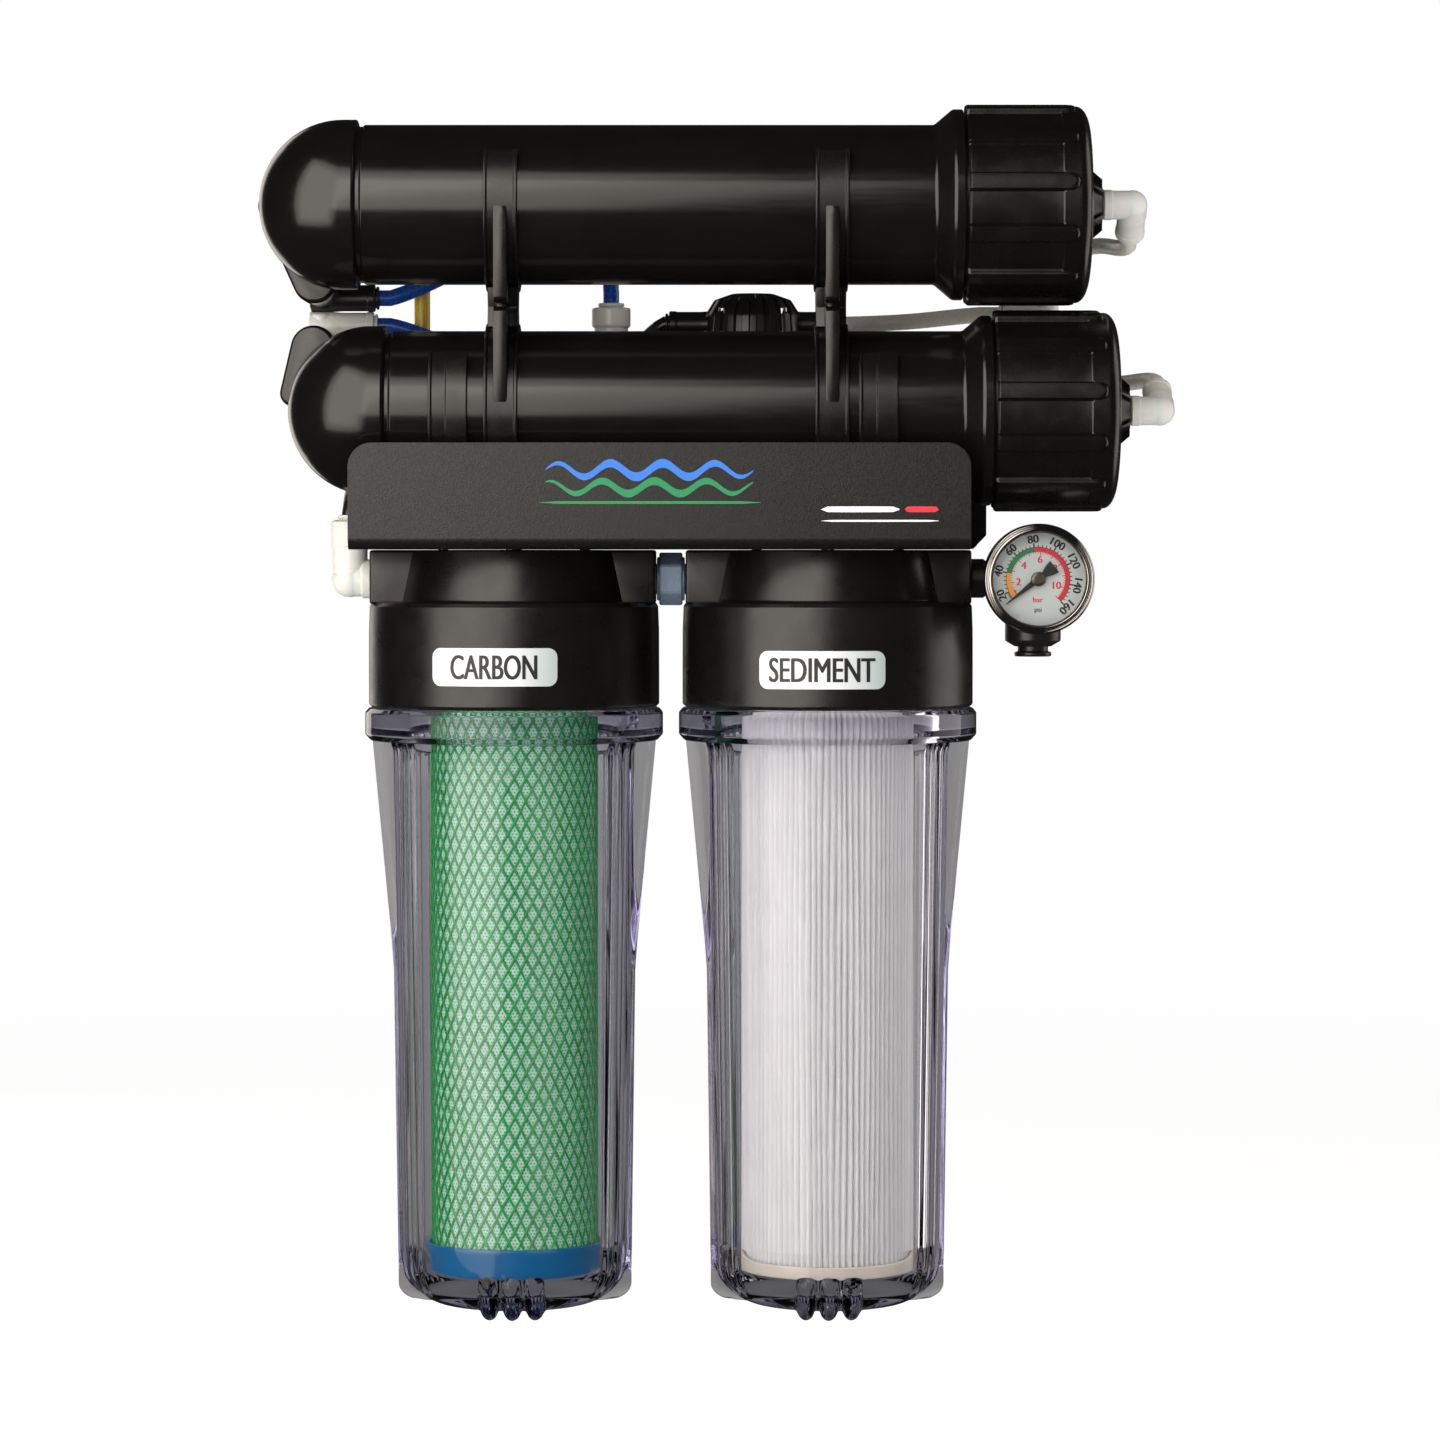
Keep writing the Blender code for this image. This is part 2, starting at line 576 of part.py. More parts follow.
def build_cap(place, at):
    """Ribbed nut on the housing's neck, and the feed plug that it clamps, with its hexagonal port."""
    look = black_plastic()
    angles, raised = [], []
    for rib in range(CAP_RIBS):
        middle = FIRST_RIB + rib * 360.0 / CAP_RIBS
        for offset, high in ((-RIB_HALF - 1, 0.0), (-RIB_HALF, CAP_RIB), (RIB_HALF, CAP_RIB), (RIB_HALF + 1, 0.0)):
            angles.append(middle + offset + 180)
            raised.append(high)
    outline = [
        (35.7, CAP_START), (CAP_R - 0.8, CAP_START), (CAP_R, CAP_START + 1.3, 1), (CAP_R, CAP_END - 8, 1),
        (CAP_R - 0.6, CAP_END - 6), (CAP_R - 2.6, CAP_END - 2.4), (CAP_R - 7, CAP_END), (HUB_R + 0.6, CAP_END),
        (HUB_R + 0.6, CAP_WALL), (35.7, CAP_WALL),
    ]
    lathe(f"{place}_housing_cap", outline, look, "X", at, angles, lambda step: raised[step])
    plug = [
        (0, 145), (9.2, 145), (9.2, 131.5), (26.9, 131.5), (26.9, 139.3), (34.7, 139.3), (34.7, CAP_WALL - GAP),
        (HUB_R, CAP_WALL - GAP), (HUB_R, CAP_END), (13.3, CAP_END + 0.4), (7.8, CAP_END + 5.5), (5, CAP_END + 5.5),
        (5, 156), (0, 156),
    ]
    lathe(f"{place}_feed_plug", plug, look, "X", at, even_angles(16))


def build_feed_elbow(place, shift, z, lean):
    """White push-in elbow in the feed plug: its leg points back and leans towards the tee."""
    corner = Vector((ELBOW_X + shift, HOUSING_Y, z))
    leg = Vector((0, math.cos(math.radians(lean)), math.sin(math.radians(lean))))
    hub = CAP_END + 6.0 + shift
    fitting(
        f"{place}_feed_elbow",
        [
            ((hub - 9, corner.y, z), (hub + 1, corner.y, z), 4.5),
            ((hub, corner.y, z), corner + Vector((4.2, 0, 0)), FIT_R),
            (corner - leg * 4.2, corner + leg * 17, 5.2),
        ],
        [(corner + leg * 22, corner + leg * 8, SOCKET_R)],
        white_plastic(),
        SMALL + 4,
    )
    return corner, leg


def build_feed_side():
    """Elbows at both caps, the tubes from them to a tee behind the caps, and the line from the valve."""
    look = white_plastic()
    tubing = material("white_tubing", (0.75, 0.74, 0.68), 0.35)
    tee = Vector(FEED_TEE)
    for place, shift, z, lean, side in (
        ("upper", 0.0, UPPER_Z, -38.0, 1), ("lower", LOWER_SHIFT, LOWER_Z, 30.0, -1),
    ):
        corner, leg = build_feed_elbow(place, shift, z, lean)
        out = corner + leg * 24
        port = tee + Vector((0, 0, side * 10))
        bend = (out + port) / 2 + Vector((4, 6, side * 9))
        line(f"{place}_feed_tube", [corner + leg * 10, out, bend, port + Vector((0, 0, side * 13)), port], tubing)
    fitting(
        "feed_tee",
        [
            (tee + Vector((0, 0, -17)), tee + Vector((0, 0, 17)), FIT_R),
            (tee, tee + Vector((-17, 0, 0)), FIT_R),
        ],
        [
            (tee + Vector((0, 0, -20)), tee + Vector((0, 0, -8)), SOCKET_R),
            (tee + Vector((0, 0, 20)), tee + Vector((0, 0, 8)), SOCKET_R),
            (tee + Vector((-20, 0, 0)), tee + Vector((-8, 0, 0)), SOCKET_R),
        ],
        look,
        SMALL + 4,
    )
    right_port = VALVE_X + VALVE_R + 4
    line(
        "feed_supply_tube",
        [
            (right_port, VALVE_Y, VALVE_FEED_Z), (right_port + 14, VALVE_Y, VALVE_FEED_Z), (95, VALVE_Y - 2, 71),
            (tee.x - 26, tee.y, tee.z), (tee.x - 10, tee.y, tee.z),
        ],
        tubing,
    )


def build_valve():
    """Automatic shutoff valve: the ribbed upper shell carries the feed, the lower shell the product."""
    look = black_plastic()
    at = (VALVE_X, VALVE_Y, 0)
    middle = 58.0
    dome = [
        (0, 82.3), (9, 82.0), (15, 79.5), (VALVE_R - 1, 72, 1), (VALVE_R - 1, middle + 4, 1), (VALVE_R, middle + 3),
        (VALVE_R, middle + GAP), (14, middle + GAP), (14, 64), (0, 66),
    ]
    base = [
        (0, 34), (12, 34), (VALVE_R - 1, 40, 1), (VALVE_R - 1, middle - 4, 1), (VALVE_R, middle - 3),
        (VALVE_R, middle - GAP), (14, middle - GAP), (14, 54), (0, 53),
    ]
    for name, outline, z, reach in (
        ("shutoff_valve_cover", dome, VALVE_FEED_Z, (-13, 11)),
        ("shutoff_valve_base", base, VALVE_PRODUCT_Z, (-5, 11)),
    ):
        shell = lathe(name, outline, look, at=at, swell=lambda step: step % 2)
        left, right = VALVE_X - VALVE_R + reach[0], VALVE_X + VALVE_R + reach[1]
        bars = [
            rod(f"{name}_left", (left, VALVE_Y, z), (VALVE_X - 17, VALVE_Y, z), FIT_R, look),
            rod(f"{name}_right", (VALVE_X + 17, VALVE_Y, z), (right, VALVE_Y, z), FIT_R, look),
        ]
        combine(shell, "UNION", bars)
        bores = [
            rod(f"{name}_bore1", (left - 4, VALVE_Y, z), (VALVE_X - VALVE_R + 1, VALVE_Y, z), SOCKET_R, look, SMALL),
            rod(f"{name}_bore2", (VALVE_X + VALVE_R - 1, VALVE_Y, z), (right + 4, VALVE_Y, z), SOCKET_R, look, SMALL),
        ]
        combine(shell, "DIFFERENCE", bores)


def build_product_side():
    """Elbows on the two dome ports, the blue tubes from them, and the tee into the valve's product side."""
    look = white_plastic()
    blue = material("blue_tubing", (0.02, 0.09, 0.45), 0.35)
    rear = HOUSING_Y + 33
    y = rear + 13
    for place, lobe, colour, turn_z in (
        ("upper", (-139.0, UPPER_Z - 29.5), black_plastic(), UPPER_Z - 34),
        ("lower", (-139.5, LOWER_Z + 24.5), look, LOWER_Z + 35),
    ):
        x, z = lobe
        fitting(
            f"{place}_product_elbow",
            [
                ((x, rear - 10, z), (x, rear + 1, z), 4.2),
                ((x, rear + GAP, z), (x, y + 4, z), FIT_R),
                ((x, y, z), (x, y, turn_z), FIT_R),
                ((x - 4.5, y, turn_z), (x + 21, y, turn_z), FIT_R + 0.2),
            ],
            [((x + 26, y, turn_z), (x + 10, y, turn_z), SOCKET_R)],
            colour,
            SMALL + 4,
        )
    tee = Vector(PRODUCT_TEE)
    fitting(
        "product_tee",
        [
            (tee + Vector((-16, 0, 0)), tee + Vector((12, 0, 0)), FIT_R),
            (tee + Vector((0, 0, -7)), tee + Vector((0, 0, 28)), 7.7),
        ],
        [
            (tee + Vector((0, 0, 34)), tee + Vector((0, 0, 14)), SOCKET_R),
            (tee + Vector((-20, 0, 0)), tee + Vector((-8, 0, 0)), SOCKET_R),
            (tee + Vector((16, 0, 0)), tee + Vector((5, 0, 0)), SOCKET_R),
        ],
        look,
        SMALL + 4,
    )
    left_port = VALVE_X - VALVE_R
    line(
        "product_link_tube",
        [
            tee + Vector((6, 0, 0)), tee + Vector((13, 0, 0)), (left_port - 6, VALVE_Y, VALVE_PRODUCT_Z),
            (left_port, VALVE_Y, VALVE_PRODUCT_Z),
        ],
        blue,
    )
    upper_z, lower_z = UPPER_Z - 34, LOWER_Z + 35
    line(
        "upper_product_tube",
        [
            (-127, y, upper_z), (-112, y, upper_z), (-84, y + 3, 92), (-52, y + 8, 106), (-28, y + 10, 101),
            tee + Vector((0, 0, 34)), tee + Vector((0, 0, 16)),
        ],
        blue,
    )
    line(
        "lower_product_tube",
        [
            (-127, y, lower_z), (-112, y, lower_z), (-86, y + 2, 60), (-62, y + 6, 51), tee + Vector((-26, 0, 0)),
            tee + Vector((-10, 0, 0)),
        ],
        blue,
    )


def build_reject_side():
    """The reject ports behind the barrels, joined by a straight tube; the lower fitting ends in the drain port."""
    look = white_plastic()
    x, y, thread = REJECT_X, REJECT_Y, HOUSING_Y + 28.4
    wall = HOUSING_Y + TUBE_R + GAP
    fitting(
        "upper_reject_elbow",
        [
            ((x, thread, UPPER_Z), (x, wall + 1, UPPER_Z), 4.2),
            ((x, wall, UPPER_Z), (x, y + 4, UPPER_Z), FIT_R),
            ((x, y, UPPER_Z + 4.2), (x, y, UPPER_Z - 17), FIT_R),
        ],
        [((x, y, UPPER_Z - 20), (x, y, UPPER_Z - 8), SOCKET_R)],
        look,
    )
    fitting(
        "drain_tee",
        [
            ((x, thread, LOWER_Z), (x, wall + 1, LOWER_Z), 4.2),
            ((x, wall, LOWER_Z), (x, y + 4, LOWER_Z), FIT_R),
            ((x, y, LOWER_Z - 4.2), (x, y, LOWER_Z + 17), FIT_R),
            ((x, y, LOWER_Z), (x - 18, y, LOWER_Z), FIT_R),
        ],
        [
            ((x, y, LOWER_Z + 20), (x, y, LOWER_Z + 8), SOCKET_R),
            ((x - 22, y, LOWER_Z), (x - 8, y, LOWER_Z), SOCKET_R),
        ],
        look,
    )
    yellow = material("yellow_tubing", (0.6, 0.42, 0.04), 0.35)
    heights = (UPPER_Z - 9, UPPER_Z - 22, LOWER_Z + 22, LOWER_Z + 9)
    line("reject_tube", [(x, y, z) for z in heights], yellow)


def tube_bore(name, z, look):
    """A cutter the size of a clip's grip on a housing barrel."""
    return rod(name, (-150, HOUSING_Y, z), (150, HOUSING_Y, z), CLIP_BORE, look, BIG)


def mouth(name, x, width, z, direction, look):
    """A cutter that opens a clip's ring upwards or downwards."""
    spread = 60.0
    wedge = [
        (HOUSING_Y, z), (HOUSING_Y - spread, z + direction * spread), (HOUSING_Y + spread, z + direction * spread),
    ]
    return prism(name, wedge, x - width, x + width, look, "X")


def build_double_clip(name, x):
    """Two snap rings back to back, joined by a waist between the barrels, with a stiffening web front and back."""
    look = black_plastic()
    half = CLIP_WIDTH / 2
    clip = rod(name, (x - half, HOUSING_Y, LOWER_Z), (x + half, HOUSING_Y, LOWER_Z), CLIP_R, look, BIG)
    joins = [rod(f"{name}_ring", (x - half, HOUSING_Y, UPPER_Z), (x + half, HOUSING_Y, UPPER_Z), CLIP_R, look, BIG)]
    middle = (LOWER_Z + UPPER_Z) / 2
    waist = [
        (HOUSING_Y - 9, LOWER_Z + 20), (HOUSING_Y + 9, LOWER_Z + 20), (HOUSING_Y + 9, UPPER_Z - 20),
        (HOUSING_Y - 9, UPPER_Z - 20),
    ]
    joins.append(prism(f"{name}_waist", waist, x - half + 0.5, x + half - 0.5, look, "X"))
    for side in (-1, 1):
        face = HOUSING_Y + side * CLIP_R
        web = [
            (face, middle - 33.5), (face, middle - 1.6), (face - side * 5, middle - 1.2),
            (face - side * 5, middle + 1.2), (face, middle + 1.6), (face, middle + 34),
            (HOUSING_Y + side * 29, middle + 34), (HOUSING_Y + side * 5, middle + 12),
            (HOUSING_Y + side * 5, middle - 12), (HOUSING_Y + side * 29, middle - 33.5),
        ]
        joins.append(prism(f"{name}_web{side}", web, x - SPINE / 2, x + SPINE / 2, look, "X"))
    combine(clip, "UNION", joins)
    cuts = [tube_bore(f"{name}_bore_low", LOWER_Z, look), tube_bore(f"{name}_bore_high", UPPER_Z, look)]
    cuts.append(mouth(f"{name}_mouth_low", x, CLIP_WIDTH, LOWER_Z, -1, look))
    cuts.append(mouth(f"{name}_mouth_high", x, CLIP_WIDTH, UPPER_Z, 1, look))
    combine(clip, "DIFFERENCE", cuts)


def build_saddle_clip(name, x):
    """A snap ring on a foot that stands on the bracket's flange and opens upwards."""
    look = black_plastic()
    half = SADDLE_WIDTH / 2
    clip = rod(name, (x - half, HOUSING_Y, LOWER_Z), (x + half, HOUSING_Y, LOWER_Z), CLIP_R, look, BIG)
    foot_low = FLANGE_BOTTOM + SHEET + GAP
    foot = [
        (HOUSING_Y - 15, foot_low), (HOUSING_Y + 15, foot_low), (HOUSING_Y + 15, foot_low + 4),
        (HOUSING_Y + 10, foot_low + 8), (HOUSING_Y + 10, LOWER_Z - 20), (HOUSING_Y - 10, LOWER_Z - 20),
        (HOUSING_Y - 10, foot_low + 8), (HOUSING_Y - 15, foot_low + 4),
    ]
    combine(clip, "UNION", [prism(f"{name}_foot", foot, x - half + 0.5, x + half - 0.5, look, "X")])
    cuts = [tube_bore(f"{name}_bore", LOWER_Z, look), mouth(f"{name}_mouth", x, SADDLE_WIDTH, LOWER_Z, 1, look)]
    combine(clip, "DIFFERENCE", cuts)


def main():
    clear_scene()
    build_bracket()
    build_head_screws()
    for name, centre_x in (("carbon", -FILTER_X), ("sediment", FILTER_X)):
        build_head(f"{name}_head", centre_x)
        build_sump(f"{name}_sump", centre_x)
        build_seal(f"{name}_sump_seal", centre_x)
    build_carbon_cartridge()
    build_sediment_cartridge()
    build_head_nipple()
    build_inlet()
    build_gauge()
    build_carbon_outlet()
    build_housings()
    build_feed_side()
    build_valve()
    build_product_side()
    build_reject_side()
    for side, x in zip(("left", "right"), CLIP_XS):
        build_double_clip(f"{side}_double_clip", x)
    for side, x in zip(("left", "right"), SADDLE_XS):
        build_saddle_clip(f"{side}_saddle_clip", x)


main()
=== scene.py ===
"""Looks of a wall-hung reverse osmosis unit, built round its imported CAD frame.

Lengths are in millimetres until a mesh is made. The frame is the part's own: X to the right, Y back to the
wall, Z up, with the origin in the middle of the bracket's wall face.
"""

import math

import bmesh
import bpy
from mathutils import Matrix, Vector


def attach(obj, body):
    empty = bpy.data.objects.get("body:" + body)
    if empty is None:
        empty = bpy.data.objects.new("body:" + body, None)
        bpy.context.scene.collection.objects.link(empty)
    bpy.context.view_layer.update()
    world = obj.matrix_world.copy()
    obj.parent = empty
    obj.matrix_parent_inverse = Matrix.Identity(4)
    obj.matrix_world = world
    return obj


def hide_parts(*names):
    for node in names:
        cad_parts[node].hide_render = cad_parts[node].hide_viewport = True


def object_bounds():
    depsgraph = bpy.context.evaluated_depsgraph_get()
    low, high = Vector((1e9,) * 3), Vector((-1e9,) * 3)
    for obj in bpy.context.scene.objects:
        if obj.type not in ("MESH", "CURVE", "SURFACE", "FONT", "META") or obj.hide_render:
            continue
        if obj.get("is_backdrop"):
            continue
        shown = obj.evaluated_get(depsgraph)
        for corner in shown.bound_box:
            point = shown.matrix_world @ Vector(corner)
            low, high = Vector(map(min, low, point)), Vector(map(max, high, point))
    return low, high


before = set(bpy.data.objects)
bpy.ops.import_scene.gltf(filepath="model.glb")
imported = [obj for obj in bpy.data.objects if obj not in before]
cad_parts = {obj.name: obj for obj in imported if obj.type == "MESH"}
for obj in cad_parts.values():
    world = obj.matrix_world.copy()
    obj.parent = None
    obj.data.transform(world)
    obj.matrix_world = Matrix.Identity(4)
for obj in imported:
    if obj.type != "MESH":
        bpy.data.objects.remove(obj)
AT_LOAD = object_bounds()

MM = 0.001

# The part's own measures
FILTER_X, AXIS_Y = 61.9, -62.0
HEAD_R, PORT_Z = 57.3, -31.7
HOUSING_Y, LOWER_Z, UPPER_Z, LOWER_SHIFT = -84.0, 34.0, 114.0, 11.0
ELBOW_X = 180.0
CLIP_XS, SADDLE_XS = (-65.0, 62.5), (-85.3, 80.3)
GAUGE = (143.0, -62.0, -31.5)
LINE_R, ROUTE_STEP = 3.175, 2.5
VALVE_X, VALVE_Y, VALVE_R = 32.5, -28.0, 20.5
FEED_TEE, PRODUCT_TEE = Vector((150.0, -24.0, 74.0)), Vector((-24.0, -37.0, 48.0))
REJECT_X, REJECT_Y = -100.0, -27.0
PORT_FACE_Y, PLUG_X = HOUSING_Y + 33, 162.7
UPPER_LOBE, LOWER_LOBE = (-139.0, UPPER_Z - 29.5), (-139.5, LOWER_Z + 24.5)
COVER_PORT_Z, BASE_PORT_Z = 70.0, 48.0
WRAP_R, MEDIA_LOW, MEDIA_HIGH = 32.3, -303.2, -60.8
CARTRIDGE_LOW, CARTRIDGE_HIGH = -306.0, -58.0


# Meshes -------------------------------------------------------------------------------------------

def stand(name, data):
    """Puts a mesh, a curve, a lamp or a lens into the scene."""
    obj = bpy.data.objects.new(name, data)
    bpy.context.scene.collection.objects.link(obj)
    return obj


def finish(mesh, name, look, sharp=32.0):
    """Puts a bmesh, modelled in millimetres in the part's frame, into the scene."""
    bmesh.ops.recalc_face_normals(mesh, faces=mesh.faces)
    mesh.transform(Matrix.Scale(MM, 4))
    data = bpy.data.meshes.new(name)
    mesh.to_mesh(data)
    mesh.free()
    data.shade_smooth()
    data.set_sharp_from_angle(angle=math.radians(sharp))
    data.materials.append(look)
    return stand(name, data)


def skin(mesh, rows):
    """Closes rows of vertices, each a ring of the same length, with an end face on each side of them."""
    mesh.faces.new(rows[0])
    mesh.faces.new(rows[-1])
    for here, there in zip(rows, rows[1:]):
        for step in range(len(here)):
            after = (step + 1) % len(here)
            mesh.faces.new((here[step], here[after], there[after], there[step]))


def join(name, parts):
    """Makes one piece of several, keeping each one's finish and sharp edges."""
    mesh = bmesh.new()
    looks = []
    for part in parts:
        graph = bpy.context.evaluated_depsgraph_get()
        data = part.evaluated_get(graph).to_mesh()
        before = len(mesh.faces)
        mesh.from_mesh(data)
        mesh.faces.ensure_lookup_table()
        slots = [slot.material for slot in part.material_slots]
        for face in mesh.faces[before:]:
            look = slots[face.material_index]
            if look not in looks:
                looks.append(look)
            face.material_index = looks.index(look)
    for part in parts:
        bpy.data.objects.remove(part, do_unlink=True)
    data = bpy.data.meshes.new(name)
    mesh.to_mesh(data)
    mesh.free()
    for look in looks:
        data.materials.append(look)
    return stand(name, data)


def settle(obj):
    """Applies an object's modifiers to its mesh."""
    graph = bpy.context.evaluated_depsgraph_get()
    data = bpy.data.meshes.new_from_object(obj.evaluated_get(graph))
    obj.modifiers.clear()
    obj.data = data


def boolean(obj, operation, others, sharp=None):
    """Adds other pieces to an object, or cuts them from it, and takes them out of the scene."""
    for other in others:
        step = obj.modifiers.new(other.name, "BOOLEAN")
        step.operation, step.solver, step.object = operation, "EXACT", other
    settle(obj)
    for other in others:
        bpy.data.objects.remove(other, do_unlink=True)
    if sharp is not None:
        obj.data.set_sharp_from_angle(angle=math.radians(sharp))


def bevel(obj, width, segments=2):
    """Rounds an object's hard edges a little."""
    step = obj.modifiers.new("edge", "BEVEL")
    step.width, step.segments = width * MM, segments
    step.limit_method, step.angle_limit = "ANGLE", math.radians(35)
    step.use_clamp_overlap = True
    settle(obj)
    obj.data.shade_smooth()
    obj.data.set_sharp_from_angle(angle=math.radians(28))
    return obj


def arc(centre, radius, start, end, steps):
    """Points on a circle from one angle to another, in degrees."""
    turns = (math.radians(start + (end - start) * step / steps) for step in range(steps + 1))
    return [(centre[0] + radius * math.cos(turn), centre[1] + radius * math.sin(turn)) for turn in turns]


def rounded(outline, closed):
    """Rounds an outline of (a, b) or (a, b, radius) at its corners, with a support point beside each."""
    made = []
    count, steps = len(outline), 4
    for index, (a, b, *size) in enumerate(outline):
        here = Vector((a, b))
        if not size or (not closed and index in (0, count - 1)):
            made.append((a, b))
            continue
        legs = [Vector(outline[(index + side) % count][:2]) - here for side in (-1, 1)]
        turn = legs[0].angle(legs[1])
        reach = min(size[0] / math.tan(turn / 2), 0.46 * legs[0].length, 0.46 * legs[1].length)
        ends = [here + leg.normalized() * reach for leg in legs]
        pad = min(0.25 * reach + 0.15, 0.03 * min(leg.length for leg in legs) + 0.05)
        pads = [end + leg.normalized() * pad for end, leg in zip(ends, legs)]
        made.append(tuple(pads[0]))
        for step in range(steps + 1):
            t = step / steps
            # A conic with this weight is the true arc between the two ends
            weight = math.sin(turn / 2)
            share = ((1 - t) ** 2, 2 * t * (1 - t) * weight, t * t)
            point = (share[0] * ends[0] + share[1] * here + share[2] * ends[1]) / sum(share)
            made.append(tuple(point))
        made.append(tuple(pads[1]))
    return made


def placed(axis, radius, angle, height):
    """A point at this radius and angle round an axis, and at this height along it."""
    across, up = radius * math.cos(angle), radius * math.sin(angle)
    if axis == "X":
        return Vector((height, across, up))
    if axis == "-Y":
        return Vector((across, -height, up))
    return Vector((across, up, height))


def lathe(
    name, outline, look, axis="Z", at=(0, 0, 0), count=96, shape=None, span=None, sharp=32.0, angles=None,
):
    """Turns an outline of (radius, height[, rounding]) about an axis; a span in degrees leaves it open.

    shape(radius, height, angle) gives the radius and height where the piece isn't round.
    """
    closed = outline[0][0] > 0
    points = rounded(outline, closed)
    if angles is None:
        first, last = span or (0.0, 360.0)
        ring = count if span is None else count + 1
        angles = [math.radians(first + (last - first) * step / count) for step in range(ring)]
    ring = len(angles)
    centre = Vector(at)
    mesh = bmesh.new()
    rings = []
    for radius, height in points:
        if radius < 1e-6:
            rings.append([mesh.verts.new(centre + placed(axis, 0, 0, height))])
            continue
        row = []
        for angle in angles:
            r, h = shape(radius, height, angle) if shape else (radius, height)
            row.append(mesh.verts.new(centre + placed(axis, r, angle, h)))
        rings.append(row)
    for index in range(len(rings) if closed else len(rings) - 1):
        here, there = rings[index], rings[(index + 1) % len(rings)]
        for step in range(ring if span is None else ring - 1):
            after = (step + 1) % ring
            if len(here) == 1:
                mesh.faces.new((here[0], there[step], there[after]))
            elif len(there) == 1:
                mesh.faces.new((here[step], there[0], here[after]))
            else:
                mesh.faces.new((here[step], there[step], there[after], here[after]))
    if span is not None:
        for edge in (0, -1):
            mesh.faces.new([row[edge if len(row) > 1 else 0] for row in rings])
    return finish(mesh, name, look, sharp)


def aimed(obj, start, along):
    """Moves a piece made about the Z axis so that its axis starts here and runs along this direction."""
    turn = Vector((0, 0, 1)).rotation_difference(Vector(along)).to_matrix().to_4x4()
    obj.data.transform(Matrix.Translation(Vector(start) * MM) @ turn)
    return obj


def turned(name, start, along, outline, look, count=48, sharp=32.0, angles=None):
    """A lathed piece whose axis starts at a point and runs along a direction."""
    return aimed(lathe(name, outline, look, count=count, sharp=sharp, angles=angles), start, along)


def plate(name, outline, low, high, look, axis="Y", edge=0.4, segments=2):
    """Extrudes an outline of (x, z), (y, z) or (x, y) from low to high, with its hard edges rounded."""
    mesh = bmesh.new()

    def point(a, b, height):
        return {"X": (height, a, b), "Y": (a, height, b), "Z": (a, b, height)}[axis]

    skin(mesh, [[mesh.verts.new(point(a, b, height)) for a, b in outline] for height in (low, high)])
    obj = finish(mesh, name, look, 20)
    return bevel(obj, edge, segments) if edge else obj


def smooth_route(points):
    """Points along a smooth curve through the given ones; its first and last stretches stay straight."""
    points = [Vector(point) for point in points]
    route = [points[0]]
    for index in range(1, len(points) - 2):
        before, here, there, beyond = points[index - 1:index + 3]
        length = (there - here).length
        enter = (there - before).normalized() * length
        leave = (beyond - here).normalized() * length
        steps = max(3, round(length / ROUTE_STEP))
        for step in range(steps):
            t = step / steps
            route.append(
                (2 * t**3 - 3 * t**2 + 1) * here + (t**3 - 2 * t**2 + t) * enter
                + (-2 * t**3 + 3 * t**2) * there + (t**3 - t**2) * leave
            )
    return route + points[-2:]


def sweep(name, route, section, look):
    """Draws a closed section, a list of (side, up) points, along a route."""
    mesh = bmesh.new()
    up = None
    rings = []
    for index, here in enumerate(route):
        ahead = (route[min(index + 1, len(route) - 1)] - route[max(index - 1, 0)]).normalized()
        up = (up - up.dot(ahead) * ahead).normalized() if up else ahead.orthogonal().normalized()
        side = ahead.cross(up)
        rings.append([mesh.verts.new(here + a * side + b * up) for a, b in section])
    skin(mesh, rings)
    return finish(mesh, name, look, 40)


def tube(name, points, look):
    """A quarter-inch line along a given route."""
    return sweep(name, smooth_route(points), arc((0, 0), LINE_R, 0, 360 - 18, 19), look)


def dress(obj, body, slot, *nodes):
    """Rides a piece on its body and stands it for CAD nodes. Its slot is not used."""
    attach(obj, body)
    if nodes:
        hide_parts(*nodes)


# Finishes -----------------------------------------------------------------------------------------

